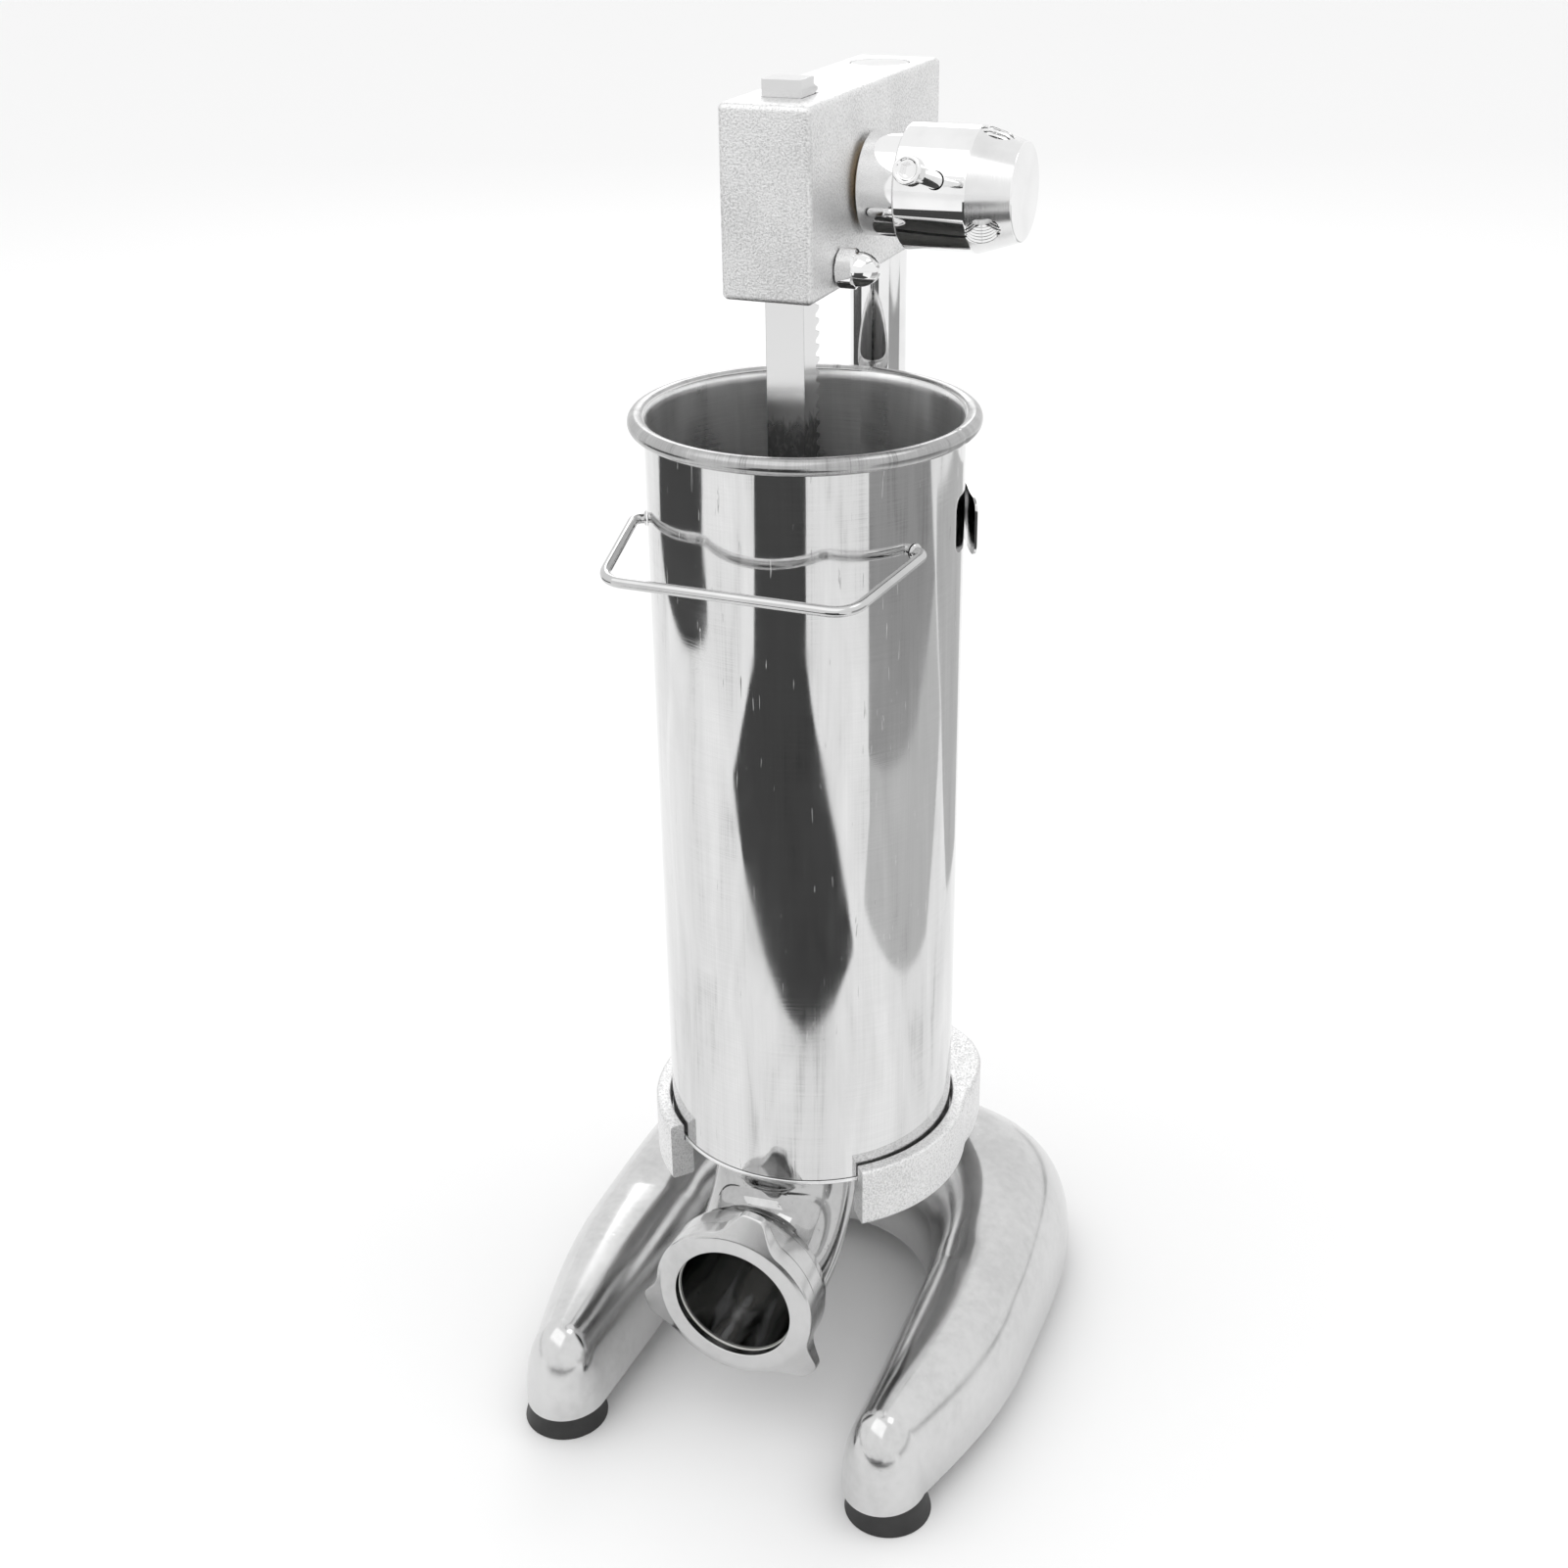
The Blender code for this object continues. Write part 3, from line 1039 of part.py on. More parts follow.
def build_hub(parent):
    """Turned hub with a coned end and three threaded sockets for crank bars."""
    place = Vector((0, CRANK_AXIS_Y, CRANK_AXIS_Z))
    bore = SHAFT_RADIUS + GAP
    bore_end = SHAFT_END_X + GAP
    hub = lathe([
        (bore, HUB_START_X), (HUB_COLLAR_RADIUS - HUB_EDGE, HUB_START_X),
        (HUB_COLLAR_RADIUS, HUB_START_X + HUB_EDGE), (HUB_COLLAR_RADIUS, HUB_BODY_X),
        (HUB_RADIUS - HUB_EDGE, HUB_BODY_X), (HUB_RADIUS, HUB_BODY_X + HUB_EDGE), (HUB_RADIUS, HUB_CONE_X),
        (HUB_END_RADIUS, HUB_END_X), (0, HUB_END_X), (0, bore_end), (bore, bore_end),
    ], FINE_STEPS)
    item = add_object("crank_hub", hub, place, RIGHTWARD, bright_steel, parent)
    lean = math.atan2(HUB_RADIUS - HUB_END_RADIUS, HUB_CONE_LENGTH)
    socket_x = HUB_CONE_X + HUB_CONE_LENGTH * SOCKET_PLACE_SHARE
    socket_reach = HUB_RADIUS + (HUB_END_RADIUS - HUB_RADIUS) * SOCKET_PLACE_SHARE
    for index, angle in enumerate(SOCKET_ANGLES):
        mouth = place + Vector((socket_x, 0, 0)) + radial_direction(angle, 0) * socket_reach
        hole = cylinder(SOCKET_RADIUS, -SOCKET_DEPTH, OVERRUN)
        facing = facing_along(radial_direction(angle, lean))
        add_cutter(item, f"socket_{index}", hole, mouth, facing)
    start = place + Vector((hub_screw_x(), 0, 0))
    hole = cylinder(HUB_SCREW_RADIUS + GAP, 0, HUB_RADIUS + OVERRUN)
    add_cutter(item, "hub_screw_hole", hole, start, facing_along(radial_direction(HUB_SCREW_ANGLE, 0)))


def build_hub_screw(parent):
    """Cap screw that clamps the hub on the shaft and stands out of it."""
    face = HUB_RADIUS + HUB_SCREW_STAND
    head = face - HUB_SCREW_HEAD_HEIGHT
    profile = [
        (0, SHAFT_RADIUS + GAP), (HUB_SCREW_RADIUS, SHAFT_RADIUS + GAP), (HUB_SCREW_RADIUS, head),
        (HUB_SCREW_HEAD_RADIUS, head), (HUB_SCREW_HEAD_RADIUS, face), (HUB_SCREW_SOCKET_RADIUS, face),
        (HUB_SCREW_SOCKET_RADIUS, face - HUB_SCREW_SOCKET_DEPTH), (0, face - HUB_SCREW_SOCKET_DEPTH),
    ]
    start = Vector((hub_screw_x(), CRANK_AXIS_Y, CRANK_AXIS_Z))
    facing = facing_along(radial_direction(HUB_SCREW_ANGLE, 0))
    add_object("hub_screw", lathe(profile, SMALL_STEPS), start, facing, bright_steel, parent)


def build_gib():
    """Pad, stud and acorn nut that press on the rack's right side."""
    pad_x = RACK_WIDTH / 2 + GAP
    screw_x = pad_x + GIB_PAD_THICKNESS + GAP
    nut_x = BLOCK_HALF_WIDTH + GAP
    place = (0, GIB_Y, GIB_Z)
    add_object("gib_pad", cylinder(GIB_RADIUS, pad_x, pad_x + GIB_PAD_THICKNESS), place, RIGHTWARD, bronze)
    stud_end = nut_x + ACORN_CAVITY_DEPTH - GAP
    add_object("gib_screw", cylinder(GIB_RADIUS, screw_x, stud_end), place, RIGHTWARD, brushed_steel)
    hexes = prism(hexagon(ACORN_FLATS), nut_x, nut_x + ACORN_HEX_HEIGHT)
    nut = add_object("acorn_nut", hexes, place, RIGHTWARD, bright_steel)
    bevel_edges(nut, HUB_EDGE, 2)
    crown_height = ACORN_HEIGHT - ACORN_HEX_HEIGHT
    start = nut_x + ACORN_HEX_HEIGHT - OVERRUN
    dome = [(0, start), (ACORN_DOME_RADIUS, start)]
    for step in range(9):
        turn = math.pi / 2 * step / 8
        height = nut_x + ACORN_HEX_HEIGHT + crown_height * math.sin(turn)
        dome.append((ACORN_DOME_RADIUS * math.cos(turn) if step < 8 else 0, height))
    add_cutter(nut, "acorn_dome", lathe(dome, SMALL_STEPS), place, RIGHTWARD, "UNION")
    cavity = cylinder(GIB_RADIUS + GAP, nut_x - OVERRUN, nut_x + ACORN_CAVITY_DEPTH)
    add_cutter(nut, "acorn_cavity", cavity, place, RIGHTWARD)


def rack_outline():
    """Side outline of the rack in the (y, z) plane, with teeth on its back."""
    root_y = RACK_PITCH_Y - MODULE * (1 + ROOT_CLEARANCE_SHARE)
    bottom = PISTON_TOP_Z + GAP
    half_pitch = TOOTH_PITCH / 4 - BACKLASH / 2
    half_tip = half_pitch - MODULE * math.tan(PRESSURE_ANGLE)
    half_root = half_pitch + (RACK_PITCH_Y - root_y) * math.tan(PRESSURE_ANGLE)
    outline = [(root_y, bottom), (RACK_FRONT_Y, bottom), (RACK_FRONT_Y, RACK_TOP_Z - RACK_TOP_EDGE)]
    outline += [(RACK_FRONT_Y + RACK_TOP_EDGE, RACK_TOP_Z), (root_y, RACK_TOP_Z)]
    lowest = math.ceil((RACK_FIRST_TOOTH_Z - CRANK_AXIS_Z) / TOOTH_PITCH)
    highest = math.floor((RACK_TOP_Z - CRANK_AXIS_Z) / TOOTH_PITCH - 1)
    for count in range(highest, lowest - 1, -1):
        middle = CRANK_AXIS_Z + (count + 0.5) * TOOTH_PITCH
        outline += [(root_y, middle + half_root), (RACK_TIP_Y, middle + half_tip)]
        outline += [(RACK_TIP_Y, middle - half_tip), (root_y, middle - half_root)]
    return outline


def build_rack(parent):
    """Square rack that drives the piston."""
    place = (0, 0, 0)
    shape = prism(rack_outline(), -RACK_WIDTH / 2, RACK_WIDTH / 2)
    rack = add_object("rack_bar", shape, place, RIGHTWARD, bright_steel, parent)
    top = PISTON_TOP_Z + PISTON_SCREW_GRIP
    hole = cylinder(PISTON_SCREW_RADIUS + GAP, PISTON_TOP_Z - OVERRUN, top + GAP)
    add_cutter(rack, "rack_screw_hole", hole, (0, RACK_CENTRE_Y, 0), UPWARD)


def build_piston(parent):
    """Piston disc with a seal in its edge, screwed to the rack from below."""
    middle = (PISTON_BOTTOM_Z + PISTON_TOP_Z) / 2
    groove = PISTON_RADIUS - SEAL_DEPTH
    profile = [
        (0, PISTON_BOTTOM_Z), (PISTON_RADIUS - PISTON_EDGE, PISTON_BOTTOM_Z),
        (PISTON_RADIUS, PISTON_BOTTOM_Z + PISTON_EDGE), (PISTON_RADIUS, middle - SEAL_WIDTH / 2),
        (groove, middle - SEAL_WIDTH / 2), (groove, middle + SEAL_WIDTH / 2),
        (PISTON_RADIUS, middle + SEAL_WIDTH / 2), (PISTON_RADIUS, PISTON_TOP_Z - PISTON_EDGE),
        (PISTON_RADIUS - PISTON_EDGE, PISTON_TOP_Z), (0, PISTON_TOP_Z),
    ]
    disc = add_object("piston_disc", lathe(profile, FINE_STEPS), (0, 0, 0), UPWARD, white_plastic, parent)
    seat_z = PISTON_BOTTOM_Z + GAP + PISTON_SCREW_HEAD_HEIGHT + GAP + PISTON_WASHER_THICKNESS + GAP
    pocket = lathe([
        (0, PISTON_BOTTOM_Z - OVERRUN), (PISTON_WASHER_RADIUS + GAP, PISTON_BOTTOM_Z - OVERRUN),
        (PISTON_WASHER_RADIUS + GAP, seat_z), (PISTON_SCREW_RADIUS + GAP, seat_z),
        (PISTON_SCREW_RADIUS + GAP, PISTON_TOP_Z + OVERRUN), (0, PISTON_TOP_Z + OVERRUN),
    ], SMALL_STEPS)
    add_cutter(disc, "piston_screw_pocket", pocket, (0, RACK_CENTRE_Y, 0), UPWARD)
    seal_top = middle + SEAL_WIDTH / 2 - GAP
    seal = tube(groove + GAP, BARREL_BORE_RADIUS - GAP, middle - SEAL_WIDTH / 2 + GAP, seal_top, FINE_STEPS)
    add_object("piston_seal", seal, (0, 0, 0), UPWARD, black_rubber, parent)
    washer_low = seat_z - GAP - PISTON_WASHER_THICKNESS
    washer = tube(PISTON_SCREW_RADIUS + GAP, PISTON_WASHER_RADIUS, washer_low, seat_z - GAP, SMALL_STEPS)
    add_object("piston_washer", washer, (0, RACK_CENTRE_Y, 0), UPWARD, brushed_steel, parent)
    head_top = washer_low - GAP
    head_bottom = head_top - PISTON_SCREW_HEAD_HEIGHT
    screw = lathe([
        (0, head_bottom), (PISTON_SCREW_HEAD_RADIUS, head_bottom),
        (PISTON_SCREW_HEAD_RADIUS, head_top), (PISTON_SCREW_RADIUS, head_top),
        (PISTON_SCREW_RADIUS, PISTON_TOP_Z + PISTON_SCREW_GRIP), (0, PISTON_TOP_Z + PISTON_SCREW_GRIP),
    ], SMALL_STEPS)
    add_object("piston_screw", screw, (0, RACK_CENTRE_Y, 0), UPWARD, brushed_steel, parent)


def main():
    """Build every sub-part of the machine."""
    clear_scene()
    crank_axis = add_joint_axis("crank_axis", (0, CRANK_AXIS_Y, CRANK_AXIS_Z))
    rack_slide = add_joint_axis("rack_slide", (0, RACK_CENTRE_Y, PISTON_BOTTOM_Z))
    outlet_axis = add_joint_axis("outlet_axis", (0, NUT_BACK_Y, OUTLET_AXIS_Z))
    build_base()
    build_feet()
    build_column()
    build_ring_bracket()
    build_set_screws()
    build_barrel()
    build_barrel_bottom()
    build_elbow()
    build_nozzle_ring(outlet_axis)
    build_nozzle_nut(outlet_axis)
    build_handle()
    build_band()
    build_block()
    build_cover()
    build_bushes()
    build_shaft(crank_axis)
    build_hub(crank_axis)
    build_hub_screw(crank_axis)
    build_gib()
    build_rack(rack_slide)
    build_piston(rack_slide)


main()
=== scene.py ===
"""Dressed scene of a churro machine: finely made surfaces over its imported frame.

Lengths are metres, +Z is up, X is to the right and -Y is to the front. The origin lies on the
floor, straight below the barrel's axis.
"""

import logging
import math
from dataclasses import dataclass, field
from enum import Enum

import bmesh
import bpy
import numpy as np
from mathutils import Matrix, Vector


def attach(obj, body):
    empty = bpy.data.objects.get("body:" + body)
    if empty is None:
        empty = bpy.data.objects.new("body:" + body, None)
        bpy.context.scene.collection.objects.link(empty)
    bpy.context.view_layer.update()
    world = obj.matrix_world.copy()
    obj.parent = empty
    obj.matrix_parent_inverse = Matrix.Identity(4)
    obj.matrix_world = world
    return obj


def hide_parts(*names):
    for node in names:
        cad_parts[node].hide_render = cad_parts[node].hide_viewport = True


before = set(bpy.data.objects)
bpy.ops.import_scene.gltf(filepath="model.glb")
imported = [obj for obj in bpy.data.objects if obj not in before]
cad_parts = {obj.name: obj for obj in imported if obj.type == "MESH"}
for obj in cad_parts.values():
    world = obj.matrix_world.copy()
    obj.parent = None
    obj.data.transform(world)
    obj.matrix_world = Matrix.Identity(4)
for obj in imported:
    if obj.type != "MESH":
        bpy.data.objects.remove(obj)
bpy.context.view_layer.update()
LOG = logging.getLogger("churro_machine")

# Measures that several sub-assemblies share: GAP is the clearance between neighbours, OVERRUN how
# far a cutter goes past the face that it opens.
GAP = 0.0003
OVERRUN = 0.004
COLUMN_Y = 0.0783
COLUMN_BORE = 0.0115
FRONT_FOOT = (0.0734, -0.102)
REAR_FOOT = (0.06156, 0.08607)
OUTLET_Y = -0.027
OUTLET_BORE = 0.025
CRANK_Y = 0.02075
CRANK_Z = 0.5012
SHAFT_RADIUS = 0.009

# Teeth of the pinion and the rack: TOOTH_ROOT is the root's depth in modules, TOOTH_PLAY how much
# each flank is set back.
TOOTH_MODULE = 0.0015
TOOTH_PRESSURE = math.radians(20.0)
TOOTH_ROOT = 1.3
TOOTH_PLAY = 0.0001

Colour = tuple[float, float, float]
Grid = np.ndarray
Outline = list[tuple[float, float]]


class Heading(Enum):
    """Way that a turned or extruded shape faces, as the world directions of its own x, y and z."""

    UP = ((1, 0, 0), (0, 1, 0), (0, 0, 1))
    RIGHT = ((0, 1, 0), (0, 0, 1), (1, 0, 0))
    FRONT = ((1, 0, 0), (0, 0, 1), (0, -1, 0))
    BACK = ((-1, 0, 0), (0, 0, 1), (0, 1, 0))


@dataclass(frozen=True)
class Stand:
    """Place and way of facing of a shape that is worked out in its own axes."""

    origin: tuple[float, float, float] = (0.0, 0.0, 0.0)
    axes: tuple = Heading.UP.value

    def place(self, points: Grid) -> Grid:
        """Points in world axes: the origin plus each coordinate times its axis."""
        return np.asarray(self.origin) + np.asarray(points) @ np.asarray(self.axes, float)


COLUMN_STAND = Stand((0, COLUMN_Y, 0))
CRANK_STAND = Stand((0, CRANK_Y, CRANK_Z), Heading.RIGHT.value)


def stand_along(origin: Vector, direction: Vector) -> Stand:
    """A stand whose own z runs along a direction.

    Args:
        origin: Where the shape's own origin goes.
        direction: World direction of the shape's z.

    Returns:
        The stand, with its own x level where that is possible.
    """
    turn = direction.to_track_quat("Z", "Y").to_matrix().transposed()
    return Stand(tuple(origin), tuple(tuple(row) for row in turn))


def unit(vectors: Grid) -> Grid:
    """Vectors made one long, along the last axis."""
    return vectors / np.linalg.norm(vectors, axis=-1, keepdims=True)


def full_turn(steps: int) -> Grid:
    """Even angles round a full turn, the first of them 0."""
    return np.linspace(0, 2 * math.pi, steps, endpoint=False)


def angle_from(middle: float, turn: Grid) -> Grid:
    """Angles counted from a middle one, between -pi and pi."""
    return (turn - middle + math.pi) % (2 * math.pi) - math.pi


def smoothed(values: Grid, width: int, closed: bool = False) -> Grid:
    """Average of each value and its neighbours, weighted by a raised cosine.

    Args:
        values: Array (count,).
        width: Odd number of values in each average.
        closed: The row goes on at its start; if not, its end values go on.

    Returns:
        Array (count,).
    """
    weights = np.hanning(width)
    padded = np.pad(values, width // 2, mode="wrap" if closed else "edge")
    return np.convolve(padded, weights / weights.sum(), mode="valid")


def rounded(corners: Grid | Outline, radii: list[float], steps: int = 5) -> Grid:
    """Outline with its corners rounded.

    Each corner gives way to the curve (1-t)^2 a + 2t(1-t) c + t^2 b, where c is the corner and a
    and b lie one radius before and after it.

    Args:
        corners: Array (..., corners, 2), closed from its last corner to its first.
        radii: One radius for each corner.
        steps: Pieces of each curve.

    Returns:
        Array (..., corners * (steps + 1), 2).
    """
    corners = np.asarray(corners, float)
    before = np.roll(corners, 1, axis=-2) - corners
    after = np.roll(corners, -1, axis=-2) - corners
    reach = np.asarray(radii, float)[:, None]
    start = corners + unit(before) * reach
    end = corners + unit(after) * reach
    t = np.linspace(0, 1, steps + 1)[:, None]
    first, middle, last = start[..., None, :], corners[..., None, :], end[..., None, :]
    curve = first * (1 - t) ** 2 + middle * (2 * t * (1 - t)) + last * t ** 2
    return curve.reshape(*corners.shape[:-2], -1, 2)


def arc(centre: tuple[float, float], radius: float, start: float, end: float, steps: int = 24) -> Outline:
    """Points centre + radius (cos a, sin a) for angles a from start to end."""
    turns = np.linspace(start, end, steps + 1)
    points = np.stack([centre[0] + radius * np.cos(turns), centre[1] + radius * np.sin(turns)], axis=1)
    return [tuple(point) for point in points]


def hexagon(radius: float, start: float = 0.0) -> Outline:
    """Six corners at a radius, the first of them at an angle."""
    return arc((0, 0), radius, start, start + 2 * math.pi, 6)[:-1]


def rod(radius: float, low: float, high: float) -> Outline:
    """Section of a round bar or bore, from one height to another."""
    return [(0, low), (radius, low), (radius, high), (0, high)]


def sections_of(corners: list[tuple[Grid | float, Grid | float]], count: int) -> Grid:
    """Section at each of several stations.

    Args:
        corners: Radius and height of each corner, as numbers or as arrays over the stations.
        count: Number of stations.

    Returns:
        Array (stations, corners, 2).
    """
    same = np.ones(count)
    return np.stack([np.stack([away * same, height * same], axis=1) for away, height in corners], axis=1)


def carried(sections: Grid, turn: Grid) -> Grid:
    """Grid of a changing section carried round z: (r cos a, r sin a, h) at each angle a.

    Args:
        sections: Array (angles, points, 2) of radius and height.
        turn: Array (angles,) of angles.

    Returns:
        Array (angles, points, 3).
    """
    across = np.stack([np.cos(turn), np.sin(turn)], axis=1)
    return np.concatenate([sections[:, :, :1] * across[:, None, :], sections[:, :, 1:]], axis=2)


def turned(section: Grid | Outline, steps: int = 96) -> Grid:
    """Grid of a section turned about z: (r cos a, r sin a, h) for a full turn of a.

    Args:
        section: Array (points, 2) of radius and height.
        steps: Columns round the turn.

    Returns:
        Array (steps, points, 3).
    """
    section = np.asarray(section, float)
    turn = full_turn(steps)[:, None]
    radius, height = section[None, :, 0], section[None, :, 1]
    return np.stack([radius * np.cos(turn), radius * np.sin(turn), height + 0 * turn], axis=2)


def swept(path: Grid, section_radius: Grid, sides: int, across: Vector) -> Grid:
    """Round tube along a path: p + r (cos a s + sin a n), with s square to the path and n = t x s.

    Args:
        path: Array (stations, 3) of centres.
        section_radius: Array (stations, sides or 1) of radii.
        sides: Points round the tube.
        across: A direction that the path never takes.

    Returns:
        Array (stations, sides, 3).
    """
    ahead = unit(np.gradient(path, axis=0))
    across = np.asarray(across, float)
    side = unit(across[None, :] - ahead * (ahead @ across)[:, None])
    normal = np.cross(ahead, side)
    turn = full_turn(sides)
    spokes = np.cos(turn)[None, :, None] * side[:, None, :] + np.sin(turn)[None, :, None] * normal[:, None, :]
    return path[:, None, :] + spokes * np.asarray(section_radius)[:, :, None]


def smooth_route(corners: Grid, radii: list[float], steps: int = 12) -> Grid:
    """Open path through corners, each inner one replaced by a quadratic curve one radius long."""
    route = [corners[:1]]
    for index, reach in enumerate(radii, start=1):
        corner = corners[index]
        before, after = corners[index - 1] - corner, corners[index + 1] - corner
        start = corner + before / np.linalg.norm(before) * reach
        end = corner + after / np.linalg.norm(after) * reach
        t = np.linspace(0, 1, steps + 1)[:, None]
        route.append(start * (1 - t) ** 2 + corner * (2 * t * (1 - t)) + end * t ** 2)
    route.append(corners[-1:])
    return np.concatenate(route)


class Skin:
    """Grids of points gathered into one closed mesh."""

    def __init__(self) -> None:
        """Start with nothing."""
        self.points: list[Grid] = []
        self.faces: list[list[int]] = []
        self.count = 0

    def grid(self, grid: Grid, close_rows: bool = False, close_columns: bool = False) -> "Skin":
        """Add a grid of quads.

        Args:
            grid: Array (rows, columns, 3).
            close_rows: Join the last row to the first.
            close_columns: Join the last column to the first.

        Returns:
            This skin.
        """
        rows, columns = grid.shape[:2]
        index = np.arange(rows * columns).reshape(rows, columns) + self.count
        if close_rows:
            index = np.concatenate([index, index[:1]], axis=0)
        if close_columns:
            index = np.concatenate([index, index[:, :1]], axis=1)
        quads = np.stack([index[:-1, :-1], index[1:, :-1], index[1:, 1:], index[:-1, 1:]], axis=-1)
        self.faces += quads.reshape(-1, 4).tolist()
        self.points.append(grid.reshape(-1, 3))
        self.count += rows * columns
        return self

    def lathe(self, section: Grid | Outline, stand: Stand = Stand(), steps: int = 96) -> "Skin":
        """Add a closed section turned about the stand's own z."""
        return self.closed(stand.place(turned(section, steps)))

    def closed(self, grid: Grid) -> "Skin":
        """Add a grid of quads that closes on itself both ways."""
        return self.grid(grid, close_rows=True, close_columns=True)

    def strip(self, grid: Grid) -> "Skin":
        """Add a grid of quads whose columns close into a tube, with a face over both ends."""
        return self.grid(grid, close_columns=True).cap(grid[0]).cap(grid[-1])

    def cap(self, loop: Grid) -> "Skin":
        """Add one flat face through a loop of points."""
        self.faces.append(list(range(self.count, self.count + len(loop))))
        self.points.append(np.asarray(loop, float))
        self.count += len(loop)
        return self

    def prism(self, outline: Grid | Outline, low: float, high: float, stand: Stand = Stand()) -> "Skin":
        """Add an outline carried straight from one height to another, closed at both ends."""
        outline = np.asarray(outline, float)
        rows = [np.column_stack([outline, np.full(len(outline), height)]) for height in (low, high)]
        lower, upper = (stand.place(row) for row in rows)
        return self.strip(np.stack([lower, upper]))

    def mesh(self, name: str, weld: float = 2e-6) -> bpy.types.Mesh:
        """The gathered mesh, with meeting points joined and every face turned outwards.

        Args:
            name: Name of the mesh.
            weld: Points nearer than this become one.

        Returns:
            The new mesh.
        """
        mesh = bpy.data.meshes.new(name)
        mesh.from_pydata(np.concatenate(self.points).tolist(), [], self.faces)
        work = bmesh.new()
        work.from_mesh(mesh)
        bmesh.ops.remove_doubles(work, verts=work.verts, dist=weld)
        bmesh.ops.dissolve_degenerate(work, dist=weld / 4, edges=work.edges)
        bmesh.ops.recalc_face_normals(work, faces=work.faces)
        work.to_mesh(mesh)
        work.free()
        return mesh


def solid(name: str, skin: Skin) -> bpy.types.Object:
    """Object of a skin, at the origin."""
    item = bpy.data.objects.new(name, skin.mesh(name))
    bpy.context.scene.collection.objects.link(item)
    return item


def read_faces(item: bpy.types.Object) -> tuple[Grid, Grid]:
    """Centres and normals of a piece's faces, as two arrays (faces, 3)."""
    polygons = item.data.polygons
    centres, normals = np.empty(len(polygons) * 3), np.empty(len(polygons) * 3)
    polygons.foreach_get("center", centres)
    polygons.foreach_get("normal", normals)
    return centres.reshape(-1, 3), normals.reshape(-1, 3)


def shade(item: bpy.types.Object, sharp: float = 32.0) -> None:
    """Shade smoothly, sharp where faces meet at more than an angle in degrees."""
    item.data.shade_smooth()
    item.data.set_sharp_from_angle(angle=math.radians(sharp))
    even = item.modifiers.new("even_shading", "WEIGHTED_NORMAL")
    even.keep_sharp = True


def carve(item: bpy.types.Object, tools: list[Skin], joined: bool = False) -> None:
    """Cut shapes out of a piece, or join them on, and keep the result as its plain mesh.

    Args:
        item: The piece.
        tools: Closed shapes, used one after another.
        joined: Join them on in place of cutting them out.
    """
    cutters = [solid(f"{item.name}_tool_{index}", skin) for index, skin in enumerate(tools)]
    for cutter in cutters:
        change = item.modifiers.new(cutter.name, "BOOLEAN")
        change.operation = "UNION" if joined else "DIFFERENCE"
        change.solver = "EXACT"
        change.object = cutter
    graph = bpy.context.evaluated_depsgraph_get()
    result = bpy.data.meshes.new_from_object(item.evaluated_get(graph))
    item.modifiers.clear()
    item.data = result
    for cutter in cutters:
        bpy.data.objects.remove(cutter, do_unlink=True)


def soften(item: bpy.types.Object, width: float, segments: int = 2, angle: float = 40.0) -> None:
    """Round a piece's sharp edges by a width in metres."""
    edge = item.modifiers.new("soft_edges", "BEVEL")
    edge.width = width
    edge.segments = segments
    edge.limit_method = "ANGLE"
    edge.angle_limit = math.radians(angle)
    edge.harden_normals = False


